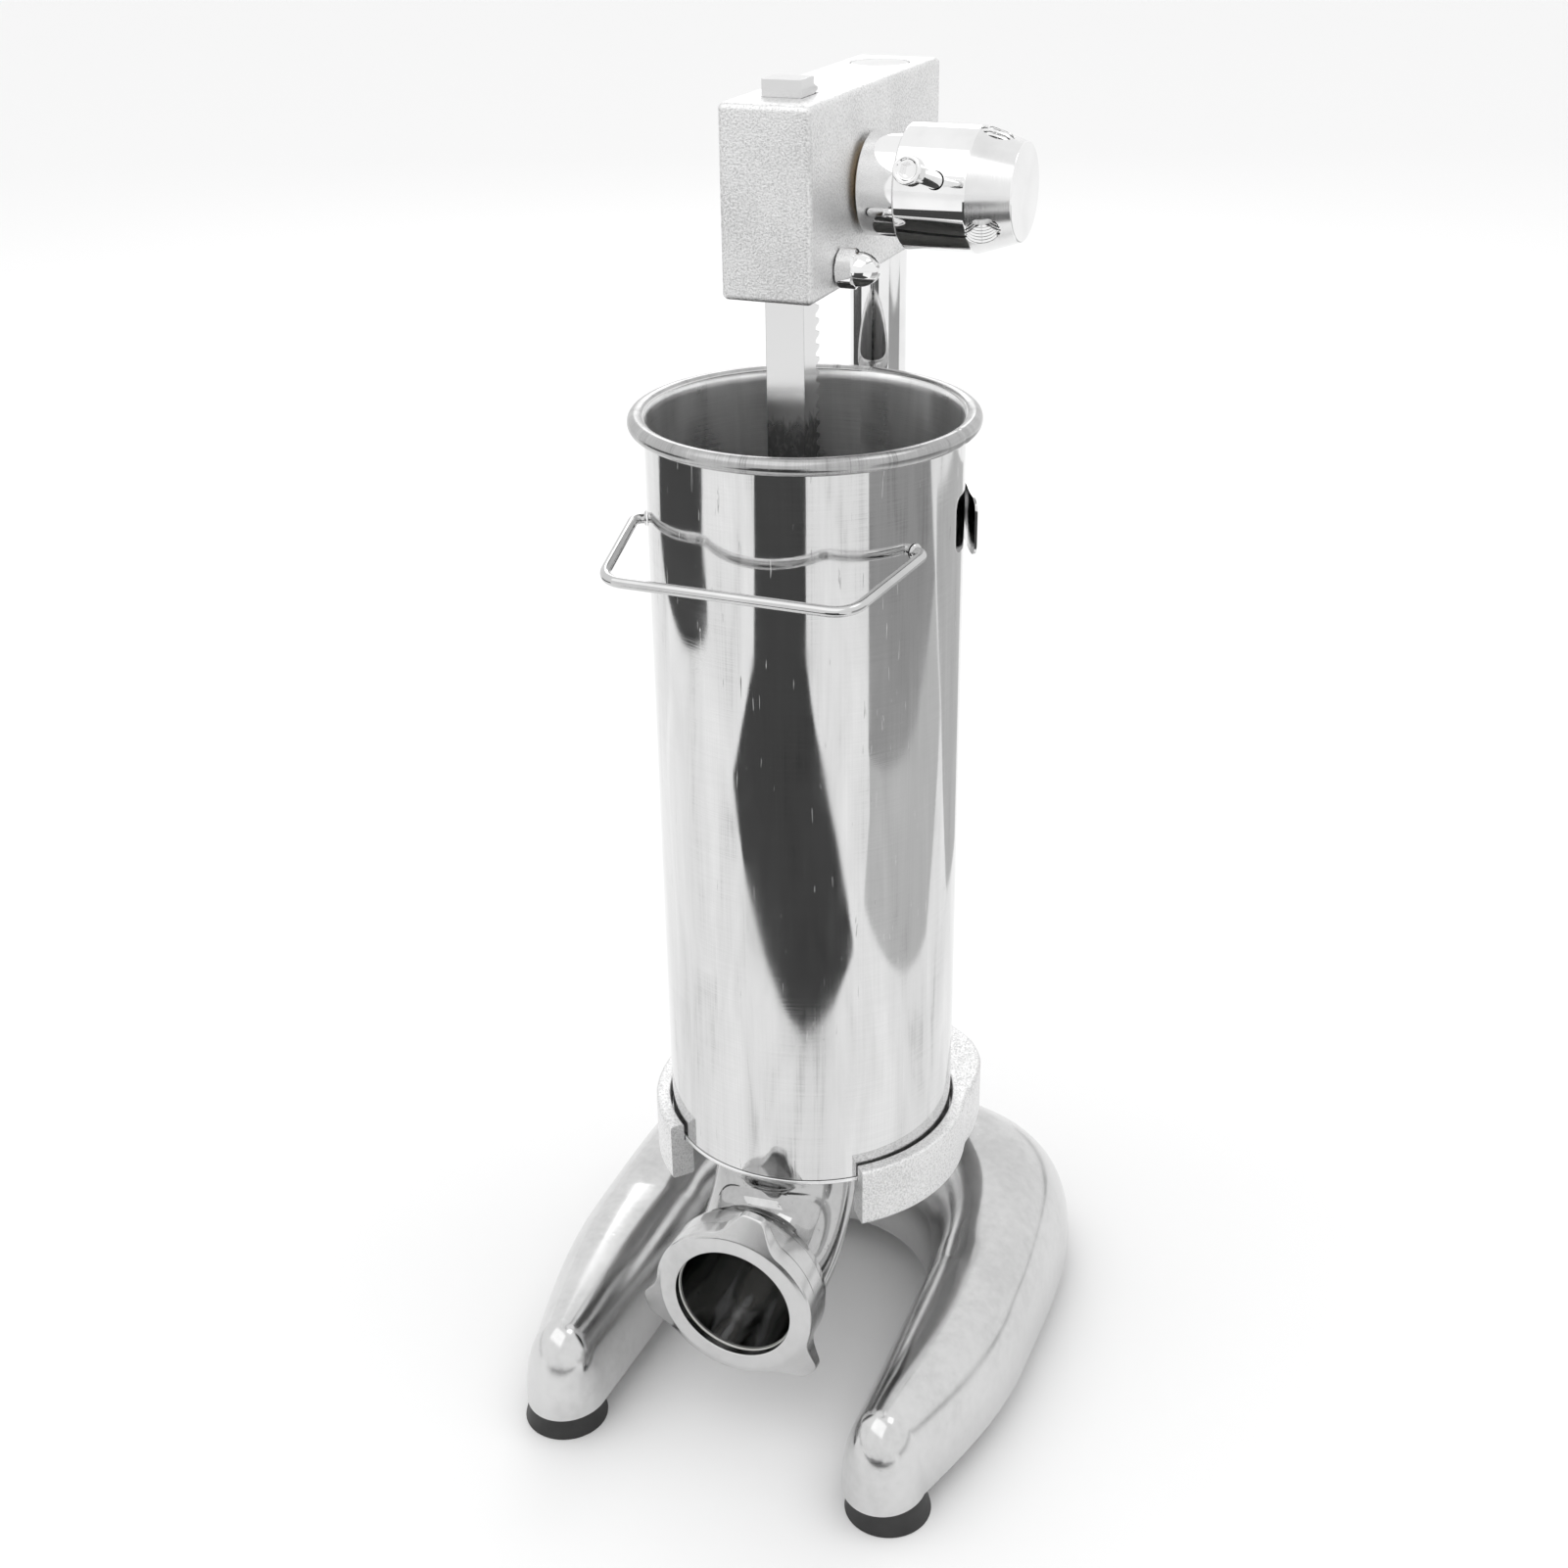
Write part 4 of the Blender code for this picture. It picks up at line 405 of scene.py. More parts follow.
class Painter:
    """Nodes of one finish, on a piece's Object coordinates."""

    def __init__(self, name: str, colour: Colour, roughness: float, metallic: float) -> None:
        """Start a material whose steady values sit on the shader's own sockets."""
        self.material = bpy.data.materials.new(name)
        self.material.use_nodes = True
        self.tree = self.material.node_tree
        self.shader = self.tree.nodes["Principled BSDF"]
        self.shader.inputs["Base Color"].default_value = (*colour, 1.0)
        self.shader.inputs["Roughness"].default_value = roughness
        self.shader.inputs["Metallic"].default_value = metallic
        self.object_coordinates = self.node("ShaderNodeTexCoord").outputs["Object"]
        self.normal = None

    def node(self, kind: str, **settings: object) -> bpy.types.Node:
        """Add a node and set its options."""
        made = self.tree.nodes.new(kind)
        for key, value in settings.items():
            setattr(made, key, value)
        return made

    def link(self, source: bpy.types.NodeSocket, target: bpy.types.NodeSocket) -> None:
        """Join two sockets."""
        self.tree.links.new(source, target)

    def math(self, operation: str, *values: object) -> bpy.types.NodeSocket:
        """Result of a sum on sockets or numbers."""
        made = self.node("ShaderNodeMath", operation=operation)
        for socket, value in zip(made.inputs, values):
            if isinstance(value, bpy.types.NodeSocket):
                self.link(value, socket)
            else:
                socket.default_value = value
        return made.outputs[0]

    def blend(self, first: object, share: object, second: object, rest: object) -> bpy.types.NodeSocket:
        """First times its share plus second times the rest, each a socket or a number."""
        return self.math("ADD", self.math("MULTIPLY", first, share), self.math("MULTIPLY", second, rest))

    def around(self, radius: float) -> bpy.types.NodeSocket:
        """Coordinates (arc length, distance from the axis, height) about the barrel's axis."""
        parts = self.node("ShaderNodeSeparateXYZ")
        self.link(self.object_coordinates, parts.inputs[0])
        x, y, z = parts.outputs
        turn = self.math("ARCTAN2", x, self.math("MULTIPLY", y, -1.0))
        away = self.math("SQRT", self.blend(x, x, y, y))
        joined = self.node("ShaderNodeCombineXYZ")
        for source, target in zip((self.math("MULTIPLY", turn, radius), away, z), joined.inputs):
            self.link(source, target)
        return joined.outputs[0]

    def noise(self, scale: float | tuple[float, float, float], detail: float = 3.0,
              vector: bpy.types.NodeSocket | None = None, distortion: float = 0.0,
              turn: tuple[float, float, float] = (0.0, 0.0, 0.0)) -> bpy.types.NodeSocket:
        """Noise whose grains are 1 / scale metres long in each direction.

        Args:
            scale: Grains to the metre, in x, y and z or the same in all three.
            detail: Octaves of finer noise.
            vector: Coordinates in place of the Object ones.
            distortion: How far the noise is bent by itself.
            turn: Rotation of the pattern.

        Returns:
            The noise, about 0.5 on average.
        """
        spread = self.node("ShaderNodeMapping")
        spread.inputs["Rotation"].default_value = turn
        spread.inputs["Scale"].default_value = scale if isinstance(scale, tuple) else (scale,) * 3
        self.link(vector or self.object_coordinates, spread.inputs["Vector"])
        made = self.node("ShaderNodeTexNoise")
        made.inputs["Scale"].default_value = 1.0
        made.inputs["Detail"].default_value = detail
        made.inputs["Distortion"].default_value = distortion
        self.link(spread.outputs[0], made.inputs["Vector"])
        return made.outputs[0]

    def remap(self, value: bpy.types.NodeSocket, low: float, high: float,
              to_low: float, to_high: float) -> bpy.types.NodeSocket:
        """Value carried from low..high to to_low..to_high, held at its ends."""
        made = self.node("ShaderNodeMapRange")
        for index, number in enumerate((low, high, to_low, to_high), start=1):
            made.inputs[index].default_value = number
        self.link(value, made.inputs[0])
        return made.outputs[0]

    def shades(self, value: bpy.types.NodeSocket, stops: list[tuple[float, Colour]]) -> None:
        """Colour the surface by a value through a row of (place, colour) stops."""
        ramp = self.node("ShaderNodeValToRGB")
        elements = ramp.color_ramp.elements
        while len(elements) < len(stops):
            elements.new(0.5)
        for element, (place, colour) in zip(elements, stops):
            element.position = place
            element.color = (*colour, 1.0)
        self.link(value, ramp.inputs[0])
        self.link(ramp.outputs[0], self.shader.inputs["Base Color"])

    def rough(self, value: bpy.types.NodeSocket) -> None:
        """Set the roughness from a value."""
        self.link(value, self.shader.inputs["Roughness"])

    def bump(self, height: bpy.types.NodeSocket, depth: float, strength: float = 1.0) -> None:
        """Raise the surface by a height times a depth in metres, over what was raised before."""
        made = self.node("ShaderNodeBump")
        made.inputs["Strength"].default_value = strength
        made.inputs["Distance"].default_value = depth
        self.link(height, made.inputs["Height"])
        if self.normal is not None:
            self.link(self.normal, made.inputs["Normal"])
        self.normal = made.outputs["Normal"]
        self.link(self.normal, self.shader.inputs["Normal"])


def grey(value: float) -> Colour:
    """A neutral grey."""
    return (value, value, value)


@dataclass(frozen=True)
class PolishedCasting:
    """Buffed alloy: bright, with faint waves, fine polishing lines and a few casting pits."""

    name: str
    lightness: float = 0.78
    low_roughness: float = 0.10
    high_roughness: float = 0.24
    pits: float = 0.4

    def material(self) -> bpy.types.Material:
        """Build the material."""
        paint = Painter(self.name, grey(self.lightness), self.low_roughness, 1.0)
        cloud = paint.noise(28.0, 4.0)
        fine = paint.noise(260.0, 5.0)
        paint.shades(paint.blend(cloud, 0.7, fine, 0.3), [
            (0.30, grey(self.lightness - 0.10)),
            (0.50, grey(self.lightness)),
            (0.72, grey(self.lightness + 0.06)),
        ])
        lines = paint.noise((60.0, 1700.0, 1700.0), 2.0, turn=(0.3, 0.2, 0.5))
        value = paint.blend(cloud, 0.75, lines, 0.25)
        paint.rough(paint.remap(value, 0.38, 0.66, self.low_roughness, self.high_roughness))
        paint.bump(paint.noise(16.0, 1.0), 0.00030, 0.4)
        paint.bump(lines, 0.000006, 0.5)
        pit = paint.remap(paint.noise(420.0, 1.0), 0.74, 0.80, 0.0, -1.0)
        paint.bump(pit, 0.00012 * self.pits, 0.8)
        return paint.material


@dataclass(frozen=True)
class SandCasting:
    """Alloy as it left the sand mould: dull and cloudy, with a grain of about 0.8 mm."""

    name: str
    lightness: float = 0.80
    grain: float = 1300.0

    def material(self) -> bpy.types.Material:
        """Build the material."""
        paint = Painter(self.name, grey(self.lightness), 0.5, 1.0)
        cloud = paint.noise(34.0, 4.0)
        grain = paint.noise(self.grain, 3.0)
        coarse = paint.noise(self.grain / 3, 3.0)
        paint.shades(paint.blend(cloud, 0.25, grain, 0.75), [
            (0.38, grey(self.lightness - 0.16)),
            (0.50, grey(self.lightness)),
            (0.62, grey(self.lightness + 0.08)),
        ])
        paint.rough(paint.remap(grain, 0.36, 0.66, 0.52, 0.34))
        paint.bump(grain, 0.00034, 0.9)
        paint.bump(coarse, 0.00022, 0.35)
        return paint.material


@dataclass(frozen=True)
class RolledSteel:
    """Polished sheet steel round an upright axis, with rolling lines, smears and scratches."""

    name: str
    lightness: float = 0.70
    low_roughness: float = 0.035
    high_roughness: float = 0.13
    radius: float = 0.06
    level_lines: float = 0.5
    upright_lines: float = 0.5

    def material(self) -> bpy.types.Material:
        """Build the material."""
        paint = Painter(self.name, grey(self.lightness), self.low_roughness, 1.0)
        around = paint.around(self.radius)
        cloud = paint.noise((38.0, 1.0, 16.0), 5.0, around, 0.6)
        level = paint.noise((30.0, 1.0, 2600.0), 2.0, around)
        upright = paint.noise((1500.0, 1.0, 14.0), 3.0, around)
        lines = paint.blend(level, self.level_lines, upright, self.upright_lines)
        smear = paint.noise((90.0, 1.0, 11.0), 6.0, around, 0.9)
        paint.shades(paint.blend(smear, 0.6, lines, 0.4), [
            (0.34, grey(self.lightness - 0.22)),
            (0.44, grey(self.lightness - 0.05)),
            (0.54, grey(self.lightness)),
            (0.66, grey(self.lightness + 0.07)),
        ])
        value = paint.blend(cloud, 0.72, lines, 0.28)
        paint.rough(paint.remap(value, 0.38, 0.64, self.low_roughness, self.high_roughness))
        waves = paint.noise((16.0, 1.0, 10.0), 2.0, around)
        paint.bump(waves, 0.00045, 0.30)
        paint.bump(lines, 0.000010, 0.5)
        scratch = paint.remap(paint.noise((900.0, 1.0, 60.0), 2.0, around, 0.4, (0.0, 0.5, 0.0)),
                              0.70, 0.76, 0.0, -1.0)
        paint.bump(scratch, 0.00006, 0.7)
        return paint.material


@dataclass(frozen=True)
class BrightSteel:
    """Ground and plated steel, with fine lines along one direction."""

    name: str
    lightness: float = 0.86
    low_roughness: float = 0.03
    high_roughness: float = 0.10
    lines: tuple[float, float, float] = (900.0, 900.0, 30.0)
    line_depth: float = 0.000004

    def material(self) -> bpy.types.Material:
        """Build the material."""
        paint = Painter(self.name, grey(self.lightness), self.low_roughness, 1.0)
        cloud = paint.noise(60.0, 4.0)
        line = paint.noise(self.lines, 3.0)
        paint.shades(cloud, [
            (0.30, grey(self.lightness - 0.06)),
            (0.50, grey(self.lightness)),
            (0.75, grey(self.lightness + 0.04)),
        ])
        value = paint.blend(cloud, 0.6, line, 0.4)
        paint.rough(paint.remap(value, 0.36, 0.66, self.low_roughness, self.high_roughness))
        paint.bump(line, self.line_depth, 0.6)
        return paint.material


@dataclass(frozen=True)
class BlackRubber:
    """Moulded rubber, dull, with dust in its grain."""

    name: str

    def material(self) -> bpy.types.Material:
        """Build the material."""
        paint = Painter(self.name, grey(0.018), 0.55, 0.0)
        cloud = paint.noise(90.0, 4.0)
        grain = paint.noise(1800.0, 2.0)
        paint.shades(cloud, [(0.35, grey(0.012)), (0.55, grey(0.020)), (0.75, grey(0.034))])
        paint.rough(paint.remap(cloud, 0.35, 0.65, 0.42, 0.62))
        paint.bump(grain, 0.00004, 0.5)
        return paint.material


@dataclass(frozen=True)
class WhitePlastic:
    """Machined food-grade plastic with faint turning lines."""

    name: str

    def material(self) -> bpy.types.Material:
        """Build the material."""
        paint = Painter(self.name, (0.80, 0.80, 0.77), 0.4, 0.0)
        cloud = paint.noise(50.0, 4.0)
        paint.shades(cloud, [
            (0.35, (0.74, 0.74, 0.70)),
            (0.55, (0.80, 0.80, 0.77)),
            (0.75, (0.84, 0.84, 0.82)),
        ])
        paint.rough(paint.remap(cloud, 0.35, 0.65, 0.32, 0.48))
        paint.bump(paint.noise((40.0, 40.0, 2200.0), 2.0), 0.00002, 0.5)
        return paint.material


@dataclass(frozen=True)
class Bronze:
    """Turned bearing bronze, oiled and a little darkened."""

    name: str

    def material(self) -> bpy.types.Material:
        """Build the material."""
        paint = Painter(self.name, (0.55, 0.40, 0.22), 0.28, 1.0)
        cloud = paint.noise(120.0, 4.0)
        paint.shades(cloud, [
            (0.30, (0.36, 0.25, 0.13)),
            (0.55, (0.55, 0.40, 0.22)),
            (0.75, (0.66, 0.50, 0.30)),
        ])
        paint.rough(paint.remap(cloud, 0.35, 0.65, 0.22, 0.40))
        paint.bump(paint.noise((2400.0, 60.0, 60.0), 2.0), 0.00001, 0.6)
        return paint.material


@dataclass(frozen=True)
class RimShadedSteel:
    """Ground bar, bright above a height and dark below it past a ragged edge: painted shade where the bar
    sinks into the barrel below its rim.
    """

    name: str
    edge_z: float = 0.421
    bright: float = 0.72
    dark: float = 0.16

    def material(self) -> bpy.types.Material:
        """Build the material."""
        paint = Painter(self.name, grey(self.bright), 0.2, 1.0)
        parts = paint.node("ShaderNodeSeparateXYZ")
        paint.link(paint.object_coordinates, parts.inputs[0])
        ragged = paint.noise((260.0, 260.0, 150.0), 5.0, distortion=0.8)
        edge = paint.math("ADD", parts.outputs[2], paint.math("MULTIPLY", ragged, 0.016))
        # Painted shade: the bar darkens below a height near the barrel's rim, where it runs into the barrel's
        # shade; lighter flecks break up the dark part.
        share = paint.remap(edge, self.edge_z + 0.0045, self.edge_z + 0.0115, 0.0, 1.0)
        flecks = paint.remap(paint.noise((700.0, 700.0, 420.0), 4.0), 0.50, 0.74, 0.0, 0.45)
        tone = paint.math("MAXIMUM", share, flecks)
        paint.shades(tone, [(0.0, grey(self.dark)), (0.45, grey(self.dark + 0.16)), (1.0, grey(self.bright))])
        paint.rough(paint.remap(tone, 0.0, 1.0, 0.36, 0.14))
        paint.bump(paint.noise((700.0, 700.0, 60.0), 3.0), 0.000008, 0.6)
        return paint.material


class Finishes:
    """The machine's finishes, each built once."""

    def __init__(self) -> None:
        """Build every material."""
        self.casting = PolishedCasting(
            "polished_base_alloy", lightness=0.66, low_roughness=0.12, high_roughness=0.27).material()
        self.outlet = PolishedCasting(
            "polished_outlet_alloy", lightness=0.50, low_roughness=0.05, high_roughness=0.16,
            pits=1.0).material()
        self.nut_casting = PolishedCasting(
            "polished_nozzle_alloy", lightness=0.60, low_roughness=0.12, high_roughness=0.24,
            pits=0.2).material()
        self.sand = SandCasting("sand_cast_alloy").material()
        self.barrel = RolledSteel("barrel_sheet_steel").material()
        # Painted light: the barrel's inside and its foot plate are the same steel as the outside, made
        # lighter to brighten the barrel's shaded inside.
        self.barrel_inside_painted_light = RolledSteel(
            "barrel_inside_steel", lightness=0.88, low_roughness=0.26, high_roughness=0.44,
            radius=0.0588, level_lines=0.85, upright_lines=0.15).material()
        self.bead = RolledSteel(
            "rolled_bead_steel", lightness=0.46, low_roughness=0.16, high_roughness=0.30,
            radius=0.063, level_lines=0.2, upright_lines=0.8).material()
        self.chrome = BrightSteel("chromed_column_steel").material()
        self.hub = BrightSteel(
            "plated_hub_steel", lightness=0.88, low_roughness=0.02, high_roughness=0.06,
            lines=(40.0, 300.0, 300.0), line_depth=0.000001).material()
        self.cone = BrightSteel(
            "turned_cone_steel", lightness=0.80, low_roughness=0.12, high_roughness=0.26,
            lines=(2600.0, 60.0, 60.0), line_depth=0.000020).material()
        # The rack's finish paints shade on the bar below the barrel's rim.
        self.rack = RimShadedSteel("ground_rack_steel").material()
        self.wire = BrightSteel(
            "drawn_wire_steel", lightness=0.60, low_roughness=0.05, high_roughness=0.14,
            lines=(400.0, 900.0, 900.0)).material()
        self.spring = BrightSteel(
            "spring_band_steel", lightness=0.72, low_roughness=0.08, high_roughness=0.18,
            lines=(60.0, 60.0, 1600.0)).material()
        self.fastener = BrightSteel(
            "fastener_steel", lightness=0.62, low_roughness=0.18, high_roughness=0.34,
            lines=(900.0, 900.0, 900.0)).material()
        self.rubber = BlackRubber("black_foot_rubber").material()
        self.plastic = WhitePlastic("white_piston_plastic").material()
        self.bronze = Bronze("bearing_bronze").material()


@dataclass
class Workshop:
    """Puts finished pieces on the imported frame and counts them."""

    finishes: Finishes
    made: list[str] = field(default_factory=list)

    def mount(self, item: bpy.types.Object, finish: bpy.types.Material, body: str,
              nodes: tuple[str, ...] = (), sharp: float = 32.0) -> bpy.types.Object:
        """Dress a piece and let it ride on its body.

        Args:
            item: The piece.
            finish: Its main material.
            body: CAD body that it moves with.
            nodes: CAD nodes that it stands for.
            sharp: Angle in degrees past which an edge is sharp.

        Returns:
            The piece.
        """
        if not item.data.materials:
            item.data.materials.append(finish)
        shade(item, sharp)
        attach(item, body)
        if nodes:
            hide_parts(*nodes)
        self.made.append(item.name)
        LOG.info("%s: %d faces on %s", item.name, len(item.data.polygons), body)
        return item

    def dress(self, node: str, finish: bpy.types.Material) -> None:
        """Give a CAD node that stays a better material."""
        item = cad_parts[node]
        for slot in item.material_slots:
            slot.material = finish
        LOG.info("%s: kept, dressed in %s", node, finish.name)


@dataclass
class BaseCasting:
    """Hollow horseshoe on four bosses, with a boss for the column."""

    rim_z: float = 0.012
    wall: float = 0.005
    arch_radius: float = 0.0525
    leg_spread: float = 0.0023
    leg_length: float = 0.102
    toe_outer_x: float = 0.089
    toe_length: float = 0.019
    hip_x: float = 0.1049
    hip_y: float = -0.0187
    back_y: float = 0.121
    back_power: float = 3.9
    heights: tuple[float, float, float] = (0.0387, 0.0440, 0.0620)
    powers: tuple[float, float, float] = (2.2, 2.6, 1.35)
    rise_power: float = 0.6
    ridge_shares: tuple[float, float] = (0.5, 0.45)
    boss_radius: float = 0.0185
    boss_top: float = 0.0957
    boss_bottom: float = 0.030
    core_radius: float = 0.015
    core_top: float = 0.12
    flare_radius: float = 0.006
    flare_z: float = 0.0815
    flare_end: float = math.pi * 1.42
    skirt_width: float = 0.0045
    skirt_high_z: float = 0.064
    skirt_low_z: float = 0.050
    skirt_end_z: float = 0.044
    stud_bore: float = 0.0083
    stud_bore_top: float = 0.045
    foot_boss_radius: float = 0.009
    foot_boss_height: float = 0.030
    foot_bore: float = 0.0033
    foot_bore_height: float = 0.016

    def edges(self, stations: Grid, inset: float) -> tuple[Grid, Grid, Grid, Grid, Grid]:
        """Edges, ridge, height and fullness along one half of the base.

        The inner edge runs straight along the leg and then round a circle; the outer edge swells as a
        sine along the leg and then follows a superellipse round the back. The ridge divides the width.

        Args:
            stations: Shares of the way from the toe to the middle of the back.
            inset: How far inside the outer surface.

        Returns:
            Inner edge, outer edge and ridge in plan, then height and superellipse power.
        """
        turn_length = self.arch_radius * math.pi / 2
        distance = np.asarray(stations) * (self.leg_length + turn_length)
        leg = np.clip(distance / self.leg_length, 0, 1)
        on_leg = distance < self.leg_length
        turn = np.clip((distance - self.leg_length) / self.arch_radius, 0, math.pi / 2)
        bend = turn / (math.pi / 2)
        spread = self.arch_radius + self.leg_spread * (1 - leg)
        inner_x = np.where(on_leg, spread, self.arch_radius * np.cos(turn))
        inner_y = np.where(on_leg, self.leg_length * (leg - 1), self.arch_radius * np.sin(turn))
        power = 2 / self.back_power
        swell = self.toe_outer_x + (self.hip_x - self.toe_outer_x) * np.sin(leg * math.pi / 2)
        outer_x = np.where(on_leg, swell, self.hip_x * np.abs(np.cos(turn)) ** power)
        back_reach = (self.back_y - self.hip_y) * np.abs(np.sin(turn)) ** power
        along_leg = -self.leg_length + leg * (self.leg_length + self.hip_y)
        outer_y = np.where(on_leg, along_leg, self.hip_y + back_reach)
        inner = np.stack([inner_x, inner_y], axis=1)
        outer = np.stack([outer_x, outer_y], axis=1)
        crown = (COLUMN_Y - self.arch_radius) / (self.back_y - self.arch_radius)
        toe_share, knee_share = self.ridge_shares
        share = np.where(on_leg, toe_share + (knee_share - toe_share) * leg,
                         knee_share + (crown - knee_share) * bend)
        ridge = inner + (outer - inner) * share[:, None]
        across = unit(outer - inner)
        rise = np.sin(bend * math.pi / 2) ** self.rise_power
        toe, knee, top = self.heights
        height = np.where(on_leg, toe + (knee - toe) * leg, knee + (top - knee) * rise)
        toe_power, knee_power, top_power = self.powers
        fullness = np.where(on_leg, toe_power + (knee_power - toe_power) * leg,
                            knee_power + (top_power - knee_power) * bend)
        return inner + across * inset, outer - across * inset, ridge, height - inset, fullness

    def rows(self, edge: Grid, ridge: Grid, height: Grid, fullness: Grid, steps: int = 22) -> Grid:
        """Rows from an edge on the rim up to the ridge: |x|^p + |z|^p = 1, a quarter of a superellipse."""
        angle = np.linspace(0, math.pi / 2, steps + 1)[None, :]
        power = (2 / fullness)[:, None]
        reach = np.abs(np.cos(angle)) ** power
        reach[:, -1] = 0
        lift = np.abs(np.sin(angle)) ** power
        plan = ridge[:, None, :] + (edge - ridge)[:, None, :] * reach[:, :, None]
        return np.concatenate([plan, (self.rim_z + height[:, None] * lift)[:, :, None]], axis=2)

    def patches(self, inset: float, side: int) -> list[Grid]:
        """Inner flank, outer flank and toe of one half, mirrored by a side of 1 or -1."""
        along = np.linspace(0, self.leg_length, 33)
        round_back = self.leg_length + np.linspace(0, self.arch_radius * math.pi / 2, 64)[1:]
        stations = np.concatenate([along, round_back])
        inner, outer, ridge, height, fullness = self.edges(stations / stations[-1], inset)
        flanks = [self.rows(edge, ridge, height, fullness) for edge in (inner, outer)]
        swing = np.linspace(0, math.pi, 41)
        half_width = outer[0, 0] - ridge[0, 0]
        length = self.toe_length - inset
        edge = ridge[0] - np.stack([half_width * np.cos(swing), length * np.sin(swing)], axis=1)
        edge[0], edge[-1] = inner[0], outer[0]
        same = np.ones(len(swing))
        toe = self.rows(edge, ridge[:1] * same[:, None], height[0] * same, fullness[0] * same)
        for flank in flanks:
            flank[-1, :, 0] = 0
        return [patch * np.array([side, 1, 1]) for patch in (*flanks, toe)]

    def column_boss(self) -> Skin:
        """Boss round the column: flared into the back, bored for the column and for its stud."""
        flare_x = self.boss_radius + self.flare_radius
        flare = arc((flare_x, self.flare_z), self.flare_radius, math.pi, self.flare_end, 8)
        skirt_x = self.boss_radius + self.skirt_width
        section = flare + [
            (skirt_x, self.skirt_high_z), (skirt_x, self.skirt_low_z),
            (self.boss_radius, self.skirt_end_z), (self.boss_radius, self.boss_bottom),
            (self.stud_bore, self.boss_bottom), (self.stud_bore, self.stud_bore_top),
            (COLUMN_BORE, self.stud_bore_top), (COLUMN_BORE, self.boss_top - 0.0004),
            (COLUMN_BORE + 0.0004, self.boss_top), (self.boss_radius - 0.0006, self.boss_top),
            (self.boss_radius, self.boss_top - 0.0006),
        ]
        return Skin().lathe(section, COLUMN_STAND, 72)

    def foot_boss(self, x: float, y: float) -> Skin:
        """Boss above a foot, with the hole of the foot's screw."""
        low, top = self.rim_z + GAP, self.rim_z + self.foot_boss_height
        bore_top = self.rim_z + self.foot_bore_height
        section = [(0, bore_top), (self.foot_bore, bore_top), (self.foot_bore, low),
                   (self.foot_boss_radius, low), (self.foot_boss_radius, top), (0, top)]
        return Skin().lathe(section, Stand((x, y, 0)), 48)

    def build(self, shop: Workshop) -> None:
        """Make the casting: outer and inner skins joined at the rim, with its bosses."""
        skin = Skin()
        for side in (1, -1):
            outside, inside = self.patches(0, side), self.patches(self.wall, side)
            for patch in outside + inside:
                skin.grid(patch)
            for outer, inner in zip(outside, inside):
                skin.grid(np.stack([outer[:, 0, :], inner[:, 0, :]], axis=1))
        item = solid("base_casting_surface", skin)
        core = rod(self.core_radius, self.boss_bottom + GAP, self.core_top)
        carve(item, [Skin().lathe(core, COLUMN_STAND, 72)])
        bosses = [self.foot_boss(side * x, y) for side in (1, -1) for x, y in (FRONT_FOOT, REAR_FOOT)]
        carve(item, bosses + [self.column_boss()], joined=True)
        shop.mount(item, shop.finishes.casting, "frame", ("base_casting",), 40.0)


@dataclass
class Foot:
    """Flared rubber foot with a recess for its screw."""

    name: str
    x: float
    y: float
    radius: float = 0.0178
    lip: float = 0.0172
    lip_z: float = 0.0022
    neck: float = 0.0155
    waist: float = 0.0163
    waist_z: float = 0.0055
    top: float = 0.0117
    hole: float = 0.0033
    recess: float = 0.0066
    recess_depth: float = 0.006

    def build(self, shop: Workshop) -> None:
        """Make the foot as a turned section with a concave flare."""
        section = rounded([
            (self.hole, self.top), (self.hole, self.recess_depth), (self.recess, self.recess_depth),
            (self.recess, 0.0), (self.radius, 0.0), (self.lip, self.lip_z),
            (self.waist, self.waist_z), (self.neck, self.top),
        ], [0.0002, 0.0002, 0.0004, 0.0005, 0.0009, 0.0008, 0.0022, 0.0008])
        item = solid(f"{self.name}_surface", Skin().lathe(section, Stand((self.x, self.y, 0))))
        shop.mount(item, shop.finishes.rubber, "frame", (self.name,))
        shop.dress(self.name.replace("foot_", "foot_screw_"), shop.finishes.fastener)


@dataclass
class SetScrew:
    """Headless screw with a hexagonal socket, entered from the back."""

    name: str
    z: float
    start_y: float = 0.0898
    length: float = 0.010
    radius: float = 0.004
    socket: float = 0.0023
    depth: float = 0.004
    hole: float = 0.0043
    hole_depth: float = 0.014

    def stand(self) -> Stand:
        """The screw's axis, with its own z to the back."""
        return Stand((0, self.start_y, self.z), Heading.BACK.value)

    def drill(self) -> Skin:
        """Cutter of the hole that the screw sits in."""
        return Skin().lathe(rod(self.hole, -OVERRUN, self.hole_depth), self.stand(), 48)

    def build(self, shop: Workshop) -> None:
        """Make the screw and cut its socket."""
        section = rounded(rod(self.radius, 0, self.length), [0, 0.0003, 0.0006, 0])
        item = solid(f"{self.name}_surface", Skin().lathe(section, self.stand(), 48))
        low, high = self.length - self.depth, self.length + 0.002
        carve(item, [Skin().prism(hexagon(self.socket), low, high, self.stand())])
        shop.mount(item, shop.finishes.fastener, "frame", (self.name,))


@dataclass
class Column:
    """Chromed upright with its stud, washer and nut."""

    radius: float = 0.0112
    top_z: float = 0.535
    shoulder_z: float = 0.0453
    stud_radius: float = 0.008
    stud_end_z: float = 0.0132

    def build(self, shop: Workshop) -> None:
        """Make the column as one turned section."""
        section = rounded([
            (0, self.stud_end_z), (self.stud_radius, self.stud_end_z), (self.stud_radius, self.shoulder_z),
            (self.radius, self.shoulder_z), (self.radius, self.top_z), (0, self.top_z),
        ], [0, 0.0008, 0.0002, 0.0003, 0.0006, 0])
        item = solid("column_surface", Skin().lathe(section, COLUMN_STAND, 160))
        shop.mount(item, shop.finishes.chrome, "frame", ("column",))
        for node in ("column_washer", "column_nut"):
            shop.dress(node, shop.finishes.fastener)


